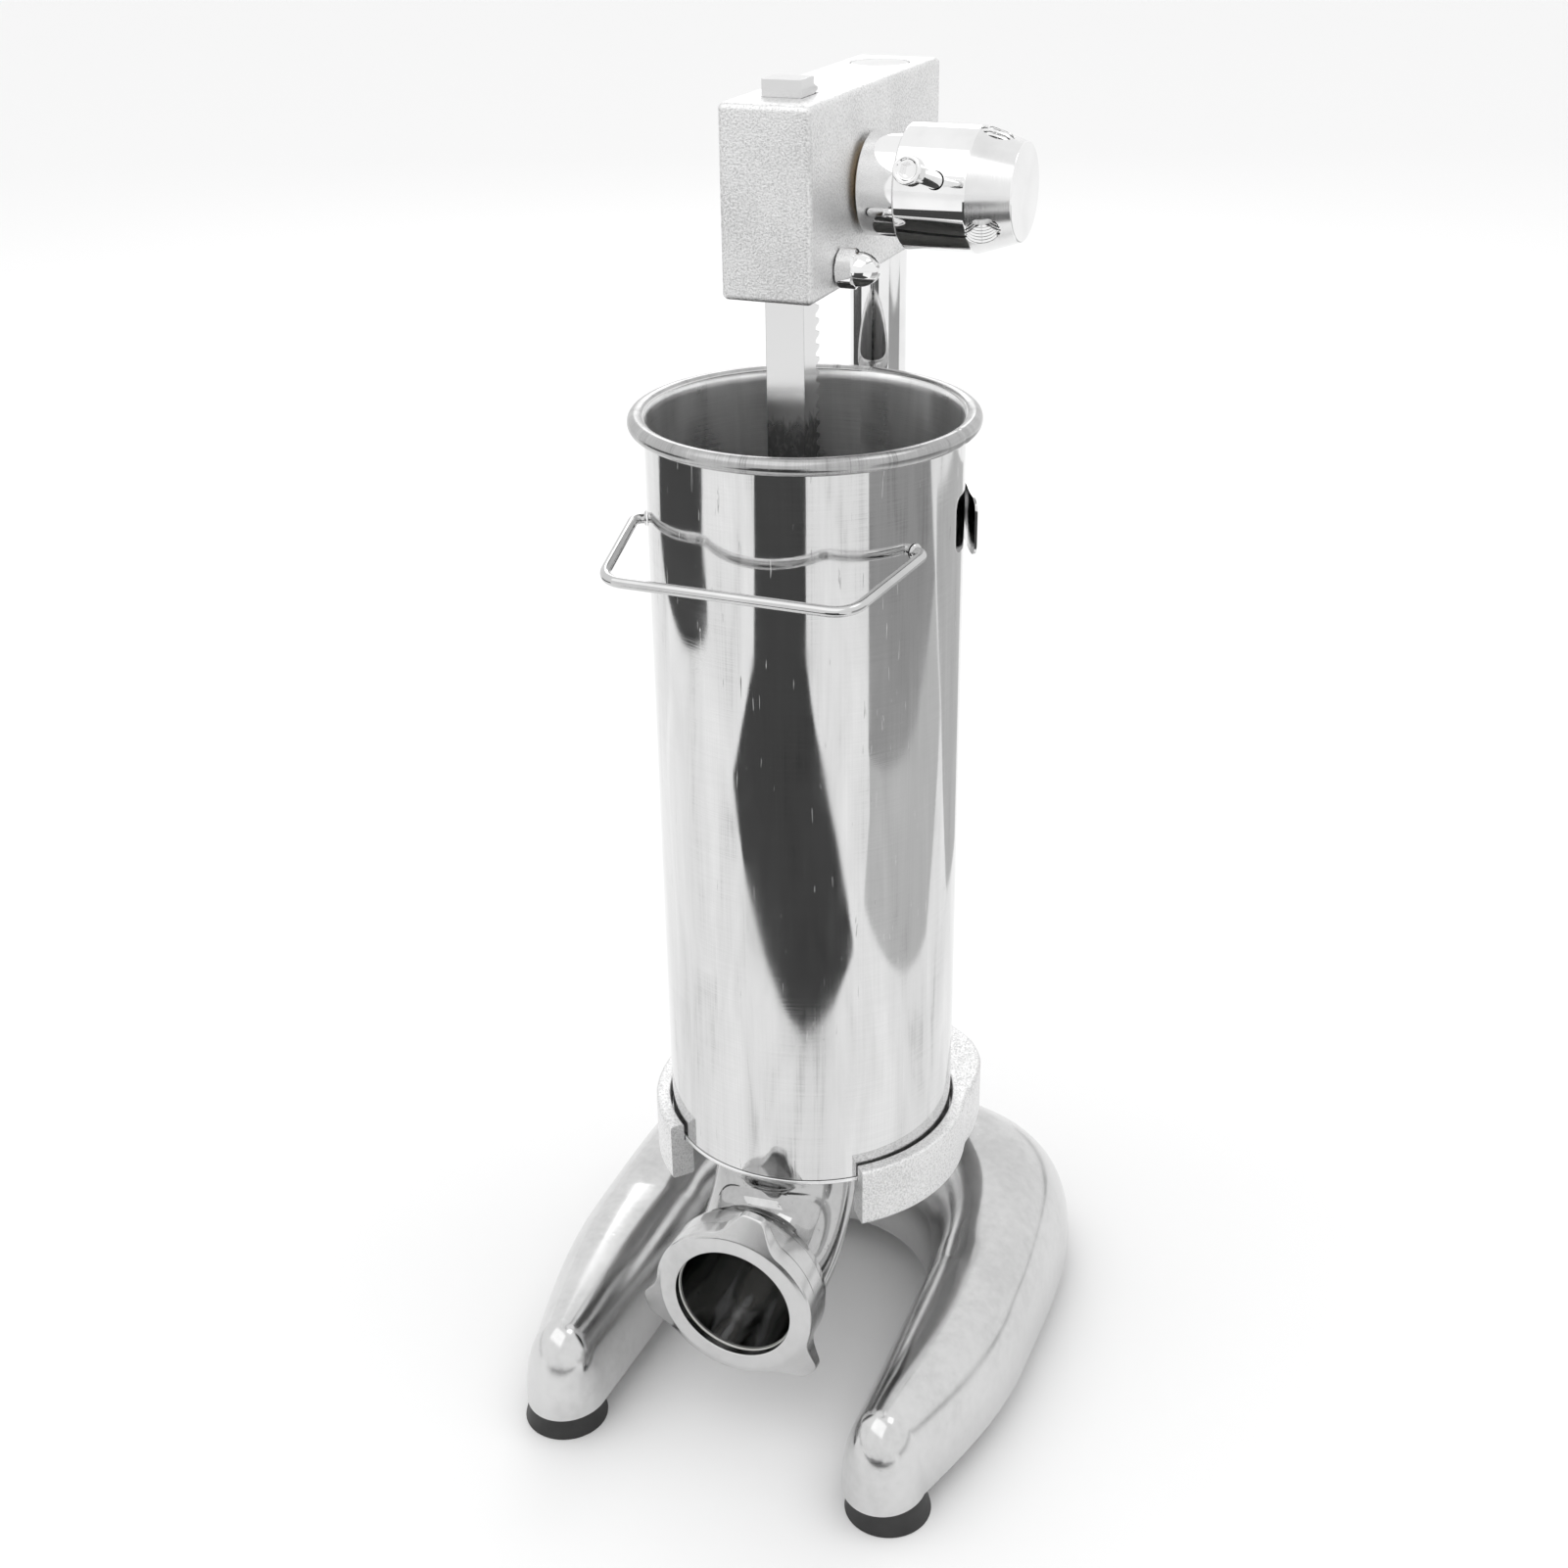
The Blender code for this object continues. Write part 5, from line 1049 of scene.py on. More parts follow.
@dataclass
class RingBracket:
    """Open sand-cast ring with a ledge for the barrel and a boss round the column."""

    low_z: float = 0.096
    high_z: float = 0.122
    ledge_z: float = 0.1137
    outer: float = 0.067
    inner: float = 0.061
    ledge: float = 0.057
    edge: float = 0.0016
    opening: float = math.radians(40.0)
    shoulder_angle: float = math.radians(15.0)
    shoulders: tuple = ((0.955, 0.55), (0.925, 0.70), (0.81, 0.88), (0.61, 1.02))
    boss_radius: float = 0.0218
    boss_start: float = math.radians(22.0)
    boss_from: float = math.radians(66.0)
    boss_ease: float = math.radians(8.0)

    def reach(self, turn: Grid) -> Grid:
        """Distance of the outer wall from the barrel's axis, read off the plan along each ray.

        The plan is the circle, a smoothed line through the shoulders, and the boss's circle, which is
        left unsmoothed; the value is interpolated in the angle.
        """
        right = np.array([(x * self.outer, y * self.outer) for x, y in self.shoulders])
        start = np.array([[math.cos(self.shoulder_angle), math.sin(self.shoulder_angle)]]) * self.outer
        boss = np.array(arc((0, COLUMN_Y), self.boss_radius, self.boss_start, math.pi / 2, 20))
        route = np.concatenate([start, right, boss])
        angle = np.arctan2(route[:, 1], route[:, 0])
        away = np.hypot(route[:, 0], route[:, 1])
        folded = math.pi / 2 - np.abs(turn - math.pi / 2)
        plain = np.interp(folded, angle, away, left=self.outer)
        near_boss = np.clip((folded - self.boss_from) / self.boss_ease, 0, 1)
        return smoothed(plain, 9) * (1 - near_boss) + plain * near_boss

    def build(self, shop: Workshop) -> None:
        """Make the ring: one section carried round the axis with a changing outer reach."""
        turn = np.linspace(-math.pi / 2 + self.opening, 1.5 * math.pi - self.opening, 321)
        reach = self.reach(turn)
        corners = sections_of([
            (self.ledge, self.low_z), (reach, self.low_z), (reach, self.high_z),
            (self.inner, self.high_z), (self.inner, self.ledge_z), (self.ledge, self.ledge_z),
        ], len(turn))
        grid = carried(rounded(corners, [0.0012, self.edge, self.edge, 0.0009, 0.0004, 0.0005]), turn)
        item = solid("ring_bracket_surface", Skin().strip(grid))
        bore = rod(COLUMN_BORE, self.low_z - OVERRUN, self.high_z + OVERRUN)
        screw = SetScrew("set_screw_ring", (self.low_z + self.high_z) / 2)
        carve(item, [Skin().lathe(bore, COLUMN_STAND, 96), screw.drill()])
        soften(item, 0.0005)
        shop.mount(item, shop.finishes.sand, "frame", ("ring_bracket",))
        screw.build(shop)


@dataclass
class Barrel:
    """Sheet-steel barrel with a rolled bead, its foot plate and its wire handle."""

    radius: float = 0.060
    wall: float = 0.0012
    foot_z: float = 0.1160
    rim_z: float = 0.4192
    bead: float = 0.0033
    plate_low: float = 0.114
    plate_lip: float = 0.0017
    plate_top: float = 0.119
    lip: float = 0.0606
    hole_low: float = 0.11
    hole_high: float = 0.125
    seam_turn: float = math.radians(-6.0)
    seam_width: float = math.radians(1.1)
    seam_depth: float = 0.00055
    wire: float = 0.002
    handle_z: float = 0.382
    handle_drop: float = 0.0064
    handle_reach: float = 0.078
    handle_half_width: float = 0.0477
    handle_turn: float = math.radians(27.2)
    handle_stand: float = 0.0045

    def build_tube(self, shop: Workshop) -> None:
        """Make the wall and bead: outer wall, three quarters of a roll, inner wall, turned about z.

        The seam of the roll is a notch, exp(-(a/w)^2) deep in the roll's radius.
        """
        centre = self.radius - self.wall / 2 + self.bead
        start = math.pi + math.acos((centre - self.radius) / self.bead)
        roll = np.array(arc((centre, self.rim_z), self.bead, start, 2.75 * math.pi, 30))
        bore = self.radius - self.wall
        rows, columns = 24, 288
        upright = np.linspace(self.foot_z, roll[0, 1] - 0.0006, rows)
        outer = np.stack([np.full(rows, self.radius), upright], axis=1)
        wall_z = self.rim_z + self.wall
        inner_top = np.array([(bore + 0.0006, wall_z + 0.0007), (bore, wall_z - 0.001)])
        down = np.linspace(self.rim_z - 0.002, self.foot_z, rows)
        inner = np.stack([np.full(rows, bore), down], axis=1)
        grid = turned(np.concatenate([outer, roll, inner_top, inner]), columns)
        turn = full_turn(columns)
        notch = self.seam_depth * np.exp(-(angle_from(self.seam_turn, turn) / self.seam_width) ** 2)
        rolled = slice(rows + 2, rows + len(roll) - 2)
        height = np.full(columns, self.rim_z)
        middle = np.stack([centre * np.cos(turn), centre * np.sin(turn), height], axis=1)
        grid[:, rolled] -= unit(grid[:, rolled] - middle[:, None, :]) * notch[:, None, None]
        item = solid("barrel_surface", Skin().closed(grid))
        finishes = shop.finishes
        for finish in (finishes.barrel, finishes.barrel_inside_painted_light, finishes.bead):
            item.data.materials.append(finish)
        # Faces on the inside of the wall take the lightened steel, painted light for the barrel's shaded
        # inside.
        centres, normals = read_faces(item)
        outward = (centres[:, :2] * normals[:, :2]).sum(axis=1)
        away = np.hypot(centres[:, 0], centres[:, 1])
        index = np.where((outward < 0) & (away < self.radius - self.wall / 2), 1, 0)
        index = np.where(away > self.radius + 0.0002, 2, index)
        item.data.polygons.foreach_set("material_index", index.astype(np.int32))
        shop.mount(item, finishes.barrel, "frame", ("barrel",), 50.0)

    def build_plate(self, shop: Workshop) -> None:
        """Make the foot plate and bore the hole that leads to the outlet."""
        spigot = self.radius - self.wall - GAP
        section = rounded([
            (0, self.plate_low), (self.lip, self.plate_low), (self.lip, self.plate_low + self.plate_lip),
            (spigot, self.plate_low + self.plate_lip), (spigot, self.plate_top), (0, self.plate_top),
        ], [0, 0.0005, 0.0005, 0.0002, 0.0005, 0])
        item = solid("barrel_bottom_surface", Skin().lathe(section, steps=192))
        hole = rod(OUTLET_BORE, self.hole_low, self.hole_high)
        carve(item, [Skin().lathe(hole, Stand((0, OUTLET_Y, 0)), 96)])
        # The foot plate takes the lightened inside steel, painted light for the barrel's shaded bottom.
        shop.mount(item, shop.finishes.barrel_inside_painted_light, "frame", ("barrel_bottom",))

    def build_handle(self, shop: Workshop) -> None:
        """Make the wire loop and the small beads of weld at its ends."""
        away = self.radius + GAP
        stand = away + self.handle_stand
        across = np.array([math.cos(self.handle_turn), -math.sin(self.handle_turn)])
        end = np.array([*(across * away), self.handle_z])
        turn = np.array([*(across * stand), self.handle_z])
        corner = np.array([self.handle_half_width, -self.handle_reach, self.handle_z - self.handle_drop])
        mirror = np.array([-1, 1, 1])
        corners = np.array([end, turn, corner, corner * mirror, turn * mirror, end * mirror])
        straight = smooth_route(corners, [0.003, 0.009, 0.009, 0.003], 14)
        lengths = np.concatenate([[0], np.cumsum(np.linalg.norm(np.diff(straight, axis=0), axis=1))])
        even = np.linspace(0, lengths[-1], 220)
        path = np.stack([np.interp(even, lengths, straight[:, axis]) for axis in range(3)], axis=1)
        grid = swept(path, np.full((len(path), 1), self.wire), 28, Vector((0, 0, 1)))
        skin = Skin().strip(grid)
        for side in (1, -1):
            out = Vector((side * across[0], across[1], 0))
            place = Vector((side * end[0], end[1], end[2]))
            weld = rounded([(0, 0.0), (0.0031, 0.0), (0.0023, 0.0009), (0, 0.0011)], [0, 0.0002, 0.0006, 0])
            skin.lathe(weld, stand_along(place, out), 40)
        item = solid("wire_handle_surface", skin)
        shop.mount(item, shop.finishes.wire, "frame", ("wire_handle",))

    def build(self, shop: Workshop) -> None:
        """Make the barrel's pieces."""
        self.build_tube(shop)
        self.build_plate(shop)
        self.build_handle(shop)


@dataclass
class Outlet:
    """Elbow below the barrel, with the nozzle's ring and its three-lobed nut."""

    top_z: float = 0.1137
    axis_z: float = 0.0702
    bend: float = 0.038
    outer: float = 0.030
    collar: float = 0.033
    collar_length: float = 0.0058
    spigot: float = 0.0128
    seam: float = 0.0011
    seam_width: float = 0.0011
    nut_start_y: float = -0.0711
    ring_start_y: float = -0.0839
    ring_thickness: float = 0.001
    nut_mouth: float = 0.0254
    nut_face: float = 0.032
    nut_body: float = 0.0345
    nut_thread: float = 0.0303
    nut_length: float = 0.0174
    nut_depth: float = 0.0141
    lobe: float = 0.044
    lobe_drop: float = 0.0042
    lobe_thickness: float = 0.0038
    lobe_tip: float = math.radians(6.4)
    lobe_half: float = math.radians(24.0)
    lobe_angles: tuple = (math.radians(79.0), math.radians(-41.0), math.radians(-161.0))

    def centres(self, distance: Grid) -> Grid:
        """Centreline below the barrel: straight down, a quarter circle, then straight to the front."""
        straight = self.top_z - self.axis_z - self.bend
        turn = np.clip((distance - straight) / self.bend, 0, math.pi / 2)
        beyond = np.maximum(distance - straight - self.bend * math.pi / 2, 0)
        down = np.minimum(distance, straight)
        y = OUTLET_Y - self.bend * (1 - np.cos(turn)) - beyond
        z = self.top_z - down - self.bend * np.sin(turn)
        return np.stack([0 * y, y, z], axis=1)

    def rings(self, distance: Grid, radius: Grid, ridge: Grid, sides: int = 120) -> Grid:
        """Rings round the centreline, with the parting ridge on both sides: r + h exp(-(x/w)^2)."""
        path = self.centres(distance)
        step = 1e-4
        ahead = unit(self.centres(distance + step) - self.centres(np.maximum(distance - step, 0)))
        side = np.array([1.0, 0.0, 0.0])
        normal = np.cross(ahead, side)
        turn = full_turn(sides)
        away = np.abs(np.sin(turn)) * self.outer
        raised = radius[:, None] + ridge[:, None] * np.exp(-(away / self.seam_width) ** 2)[None, :]
        spokes = np.cos(turn)[None, :, None] * side + np.sin(turn)[None, :, None] * normal[:, None, :]
        return path[:, None, :] + spokes * raised[:, :, None]

    def build_elbow(self, shop: Workshop) -> None:
        """Make the elbow from outer rings, then inner rings back to the top."""
        straight = self.top_z - self.axis_z - self.bend
        bend_end = straight + self.bend * math.pi / 2
        collar_end = bend_end + self.collar_length
        end = collar_end + self.spigot
        ease = np.linspace(0, 1, 9)
        distance = np.concatenate([
            [0, 0.0004], np.linspace(0.001, bend_end, 44), bend_end + 0.0022 * ease[1:],
            [collar_end - 0.0006, collar_end - 0.0002, collar_end, collar_end],
            np.linspace(collar_end + 0.0006, end - 0.0006, 6), [end - 0.0002, end, end],
        ])
        swell = self.outer + (self.collar - self.outer) * (3 * ease ** 2 - 2 * ease ** 3)
        radius = np.concatenate([
            [self.outer - 0.0004, self.outer], np.full(44, self.outer), swell[1:],
            [self.collar, self.collar - 0.0002, self.collar - 0.0007, self.outer],
            np.full(6, self.outer), [self.outer - 0.0002, self.outer - 0.0007, OUTLET_BORE],
        ])
        ridge = np.where(distance < bend_end + 0.001, self.seam, 0.0)
        ridge = np.where(distance < 0.0012, 0.0, ridge)
        outer = self.rings(distance, radius, ridge)
        back = np.linspace(end, 0, 60)
        inner = self.rings(back, np.full(len(back), OUTLET_BORE), np.zeros(len(back)))
        grid = np.concatenate([outer, inner])
        item = solid("outlet_elbow_surface", Skin().closed(grid))
        shop.mount(item, shop.finishes.outlet, "frame", ("outlet_elbow",), 42.0)

    def lobe_reach(self, turn: Grid) -> Grid:
        """Radius of the grip plate: the root's, or root + (lobe - root)(1 - u)^2 t near a lobe's middle.

        Here u runs from 0 at the lobe's tip to 1 at its foot, and t rounds the tip by a few hundredths.
        The result is smoothed over eleven neighbours.
        """
        root = self.nut_body + 0.0003
        reach = np.full(len(turn), root)
        for middle in self.lobe_angles:
            away = np.abs(angle_from(middle, turn))
            slope = np.clip((away - self.lobe_tip) / (self.lobe_half - self.lobe_tip), 0, 1)
            tip = 1 - 0.03 * np.clip(away / self.lobe_tip, 0, 1) ** 2
            reach = np.maximum(reach, root + (self.lobe - root) * (1 - slope) ** 2 * tip)
        return smoothed(reach, 11, closed=True)

    def build_nut(self, shop: Workshop) -> None:
        """Make the nut: one rounded section carried round its axis with a changing reach."""
        turn = full_turn(480)
        reach = self.lobe_reach(turn)
        slope = self.lobe_drop / (self.lobe - self.nut_face)
        front = self.nut_length
        plate_back = front - self.lobe_drop - self.lobe_thickness
        corners = sections_of([
            (self.nut_mouth, front), (self.nut_face, front),
            (reach, front - slope * (reach - self.nut_face)), (reach, plate_back),
            (self.nut_body, plate_back), (self.nut_body, 0.0), (self.nut_thread, 0.0),
            (self.nut_thread, self.nut_depth), (self.nut_mouth, self.nut_depth),
        ], len(turn))
        radii = [0.0006, 0.0009, 0.0008, 0.0007, 0.0001, 0.0008, 0.0005, 0.0003, 0.0003]
        stand = Stand((0, self.nut_start_y, self.axis_z), Heading.FRONT.value)
        grid = stand.place(carried(rounded(corners, radii, 4), turn))
        item = solid("nozzle_nut_surface", Skin().closed(grid))
        shop.mount(item, shop.finishes.nut_casting, "nozzle_grip", ("nozzle_nut",))

    def build_ring(self, shop: Workshop) -> None:
        """Make the flat ring that the nut clamps."""
        section = rounded([
            (self.nut_mouth, 0), (self.outer, 0),
            (self.outer, self.ring_thickness), (self.nut_mouth, self.ring_thickness),
        ], [0.0002] * 4)
        stand = Stand((0, self.ring_start_y, self.axis_z), Heading.FRONT.value)
        item = solid("nozzle_ring_surface", Skin().lathe(section, stand, 144))
        shop.mount(item, shop.finishes.plastic, "nozzle_insert", ("nozzle_ring",))

    def build(self, shop: Workshop) -> None:
        """Make the outlet's pieces."""
        self.build_elbow(shop)
        self.build_nut(shop)
        self.build_ring(shop)


@dataclass
class SteadyBand:
    """Spring band behind the barrel, and the collar that holds it on the column."""

    low_z: float = 0.368
    height: float = 0.0225
    inner: float = 0.0612
    thickness: float = 0.0010
    end_turn: float = math.radians(9.4)
    flare_turn: float = math.radians(14.0)
    flare: float = 0.0034
    corner: float = 0.0045
    collar_radius: float = 0.0215

    def build_band(self, shop: Workshop) -> None:
        """Make the band: a thin strip, flared to r + f (1 - a/w)^2 at its ends, with rounded corners."""
        turn = np.linspace(self.end_turn, math.pi - self.end_turn, 241)
        from_end = np.minimum(turn - self.end_turn, math.pi - self.end_turn - turn)
        radius = self.inner + self.flare * np.clip(1 - from_end / self.flare_turn, 0, 1) ** 2
        along = np.clip(from_end * self.inner / self.corner, 0, 1)
        narrowed = self.corner * (1 - np.sqrt(np.clip(1 - (1 - along) ** 2, 0, 1)))
        low, high = self.low_z + narrowed, self.low_z + self.height - narrowed
        outer = radius + self.thickness
        corners = sections_of([(radius, low), (outer, low), (outer, high), (radius, high)], len(turn))
        grid = carried(rounded(corners, [0.0003] * 4, 3), turn)
        item = solid("steady_band_surface", Skin().strip(grid))
        shop.mount(item, shop.finishes.spring, "frame", ("steady_band",))

    def build_collar(self, shop: Workshop) -> None:
        """Make the collar, cut to the band's curve in front and drilled for its screw at the back."""
        high = self.low_z + self.height
        section = rounded([
            (COLUMN_BORE, self.low_z), (self.collar_radius, self.low_z),
            (self.collar_radius, high), (COLUMN_BORE, high),
        ], [0.0004, 0.0012, 0.0012, 0.0004])
        item = solid("band_collar_surface", Skin().lathe(section, COLUMN_STAND, 120))
        seat = rod(self.inner + self.thickness + GAP, self.low_z - OVERRUN, high + OVERRUN)
        screw = SetScrew("set_screw_collar", self.low_z + self.height / 2)
        carve(item, [Skin().lathe(seat, steps=240), screw.drill()])
        soften(item, 0.0004)
        shop.mount(item, shop.finishes.sand, "frame", ("band_collar",))
        screw.build(shop)

    def build(self, shop: Workshop) -> None:
        """Make the band and its collar."""
        self.build_band(shop)
        self.build_collar(shop)


def rounded_box(low: tuple, high: tuple, radius: float, cells: int = 14, arcs: int = 5) -> Skin:
    """Box with rounded edges: each point p of a box goes to q + r (p - q)/|p - q|, q held in the core.

    Args:
        low: Lowest corner.
        high: Highest corner.
        radius: Rounding of every edge.
        cells: Cells along the flat part of each face.
        arcs: Cells along each rounding.

    Returns:
        The box's skin.
    """
    low, high = np.asarray(low, float), np.asarray(high, float)
    skin = Skin()
    for axis in range(3):
        others = [other for other in range(3) if other != axis]
        ticks = []
        for other in others:
            bend = np.tan(np.linspace(0, math.pi / 4, arcs + 1))
            near = low[other] + radius * (1 - bend[::-1])
            far = high[other] - radius * (1 - bend)
            flat = np.linspace(low[other] + radius, high[other] - radius, cells + 1)
            ticks.append(np.concatenate([near[:-1], flat, far[1:]]))
        first, second = np.meshgrid(*ticks, indexing="ij")
        for side in (low, high):
            grid = np.empty((*first.shape, 3))
            grid[..., others[0]], grid[..., others[1]] = first, second
            grid[..., axis] = side[axis]
            core = np.clip(grid, low + radius, high - radius)
            away = grid - core
            skin.grid(core + radius * away / np.linalg.norm(away, axis=2, keepdims=True))
    return skin


@dataclass(frozen=True)
class AcornNut:
    """Domed lock nut of the gib screw: a hexagon cut by a cone at both ends, under a rounded dome."""

    y: float = -0.0078
    z: float = 0.4767
    flat: float = 0.0065
    height: float = 0.0065
    corner: float = 0.00738
    power: int = 24
    cone_slope: float = 0.62
    foot: float = 0.0060
    neck: float = 0.00625
    dome: float = 0.0061
    top: float = 0.015
    bore: float = 0.0043
    bore_end: float = 0.0108

    def build(self, shop: Workshop, face_x: float) -> None:
        """Make the nut on the block's face, and dress the gib's screw and pad.

        The reach is 1 / (1/f^p + 1/c^p)^(1/p), with f the hexagon's and c the corner's.
        """
        turn = full_turn(192)
        fold = (turn + math.pi / 6) % (math.pi / 3) - math.pi / 6
        plain = self.flat / np.cos(fold)
        reach = 1 / ((1 / plain) ** self.power + (1 / self.corner) ** self.power) ** (1 / self.power)
        chamfer = np.maximum(reach - self.flat - 0.0001, 0) * self.cone_slope
        rows = [
            (self.bore, 0), (self.foot, 0), (self.flat - 0.0001, 0.00005),
            (reach, chamfer + 0.0002), (reach, self.height - chamfer - 0.0002),
            (self.flat - 0.0001, self.height), (self.neck, self.height + 0.0001),
        ]
        start = self.height + 0.0002
        rows += [(self.dome * math.cos(rise), start + (self.top - self.height - 0.0002) * math.sin(rise))
                 for rise in np.linspace(0, math.pi / 2, 25)]
        rows += [(0, self.bore_end), (self.bore, self.bore_end)]
        stand = Stand((face_x, self.y, self.z), Heading.RIGHT.value)
        grid = stand.place(carried(sections_of(rows, len(turn)), turn))
        item = solid("acorn_nut_surface", Skin().closed(grid))
        shop.mount(item, shop.finishes.hub, "frame", ("acorn_nut",), 26.0)
        shop.dress("gib_screw", shop.finishes.fastener)
        shop.dress("gib_pad", shop.finishes.bronze)


@dataclass
class GearBlock:
    """Sand-cast block with the rack's channel and the pinion's pocket, its cover, screws and bushes."""

    half_width: float = 0.01705
    front_y: float = -0.0347
    back_y: float = 0.1001
    low_z: float = 0.4686
    high_z: float = 0.535
    edge: float = 0.0022
    rack_half: float = 0.0077
    rack_front: float = -0.0185
    rack_back: float = -0.00295
    pocket: float = 0.0278
    wall_x: float = 0.0101
    bush: float = 0.0123
    bush_flange: float = 0.0145
    flange_thickness: float = 0.00115
    gib: AcornNut = AcornNut()
    cover_thickness: float = 0.003
    cover_margin: float = 0.0040
    cover_front: float = 0.0335
    cover_rear: float = 0.0360
    cover_inset: float = 0.0034
    cover_hole: float = 0.0023
    cover_hole_depth: float = 0.0068
    cover_screw: float = 0.002
    cover_screw_end: float = 0.0098
    cover_head: float = 0.0032
    cover_head_height: float = 0.0022
    cover_socket: float = 0.0015
    cover_socket_end: float = -0.0011

    def cover_box(self) -> tuple[float, float, float, float]:
        """Low and high y, then low and high z, of the cover."""
        return (CRANK_Y - self.cover_front, CRANK_Y + self.cover_rear,
                self.low_z + self.cover_margin, self.high_z - self.cover_margin)

    def screw_places(self) -> list[tuple[float, float]]:
        """Places (y, z) of the cover's screws."""
        low_y, high_y, low_z, high_z = self.cover_box()
        inset = self.cover_inset
        return [(y, z) for y in (low_y + inset, high_y - inset) for z in (low_z + inset, high_z - inset)]

    def drill(self, radius: float, start: float, end: float, place: tuple[float, float],
              steps: int = 48) -> Skin:
        """A round cutter along x at a place (y, z)."""
        return Skin().lathe(rod(radius, start, end), Stand((0, *place), Heading.RIGHT.value), steps)

    def build_block(self, shop: Workshop) -> None:
        """Make the block and cut its channel, bores and pocket."""
        low = (-self.half_width, self.front_y, self.low_z)
        high = (self.half_width, self.back_y, self.high_z)
        item = solid("gear_block_surface", rounded_box(low, high, self.edge, 12, 6))
        outline = [(-self.rack_half, self.rack_front), (self.rack_half, self.rack_front),
                   (self.rack_half, self.rack_back), (-self.rack_half, self.rack_back)]
        under, above = self.low_z - OVERRUN, self.high_z + OVERRUN
        left, right = -self.half_width - OVERRUN, self.half_width + OVERRUN
        screw = SetScrew("set_screw_block", (self.low_z + self.high_z) / 2)
        tools = [
            Skin().prism(outline, under, above),
            Skin().lathe(rod(COLUMN_BORE, under, above), COLUMN_STAND, 96),
            self.drill(self.gib.bore, 0, right, (self.gib.y, self.gib.z)),
            screw.drill(),
        ]
        hole_end = -self.half_width + self.cover_hole_depth
        tools += [self.drill(self.cover_hole, left, hole_end, place, 24) for place in self.screw_places()]
        tools.append(self.drill(self.pocket, left, self.wall_x, (CRANK_Y, CRANK_Z), 96))
        tools.append(self.drill(self.bush + GAP, 0, right, (CRANK_Y, CRANK_Z), 72))
        carve(item, tools)
        soften(item, 0.0005)
        shop.mount(item, shop.finishes.sand, "frame", ("gear_block",))
        screw.build(shop)

    def build_cover(self, shop: Workshop) -> None:
        """Make the cover and its four screws, whose sockets are each turned a little further."""
        low_y, high_y, low_z, high_z = self.cover_box()
        right_x = -self.half_width - GAP
        left_x = right_x - self.cover_thickness
        box = rounded_box((left_x, low_y, low_z), (right_x, high_y, high_z), 0.0007, 10, 3)
        item = solid("block_cover_surface", box)
        left, right = left_x - OVERRUN, right_x + OVERRUN
        tools = [self.drill(self.bush + GAP, left, right, (CRANK_Y, CRANK_Z), 72)]
        tools += [self.drill(self.cover_hole, left, right, place, 24) for place in self.screw_places()]
        carve(item, tools)
        shop.mount(item, shop.finishes.fastener, "frame", ("block_cover",))
        head_top = -GAP - self.cover_head_height
        section = rounded([
            (0, head_top), (self.cover_head, head_top), (self.cover_head, -GAP), (self.cover_screw, -GAP),
            (self.cover_screw, self.cover_screw_end), (0, self.cover_screw_end),
        ], [0, 0.0006, 0.0003, 0.0001, 0.0003, 0])
        for index, place in enumerate(self.screw_places(), start=1):
            stand = Stand((left_x, *place), Heading.RIGHT.value)
            screw = solid(f"cover_screw_{index}_surface", Skin().lathe(section, stand, 40))
            socket = hexagon(self.cover_socket, 0.3 * index)
            carve(screw, [Skin().prism(socket, -OVERRUN, self.cover_socket_end, stand)])
            shop.mount(screw, shop.finishes.fastener, "frame", (f"cover_screw_{index}",))

    def build_bushes(self, shop: Workshop) -> None:
        """Make the two flanged bushes, the left one through the cover."""
        inner = SHAFT_RADIUS + GAP
        face = self.half_width + GAP
        cover_face = face + self.cover_thickness + GAP
        for node, sign, flange in (("bush_right", 1, face), ("bush_left", -1, cover_face)):
            end = flange + self.flange_thickness
            corners = np.array([
                (inner, self.wall_x), (self.bush, self.wall_x), (self.bush, flange),
                (self.bush_flange, flange), (self.bush_flange, end), (inner, end),
            ])
            radii = [0.0002, 0.0002, 0.0001, 0.0002, 0.0003, 0.0003]
            section = rounded(corners * np.array([1, sign]), radii)
            bush = solid(f"{node}_surface", Skin().lathe(section, CRANK_STAND, 96))
            shop.mount(bush, shop.finishes.bronze, "frame", (node,))

    def build(self, shop: Workshop) -> None:
        """Make the block and what is fixed to it."""
        self.build_block(shop)
        self.build_cover(shop)
        self.build_bushes(shop)
        self.gib.build(shop, self.half_width + GAP)


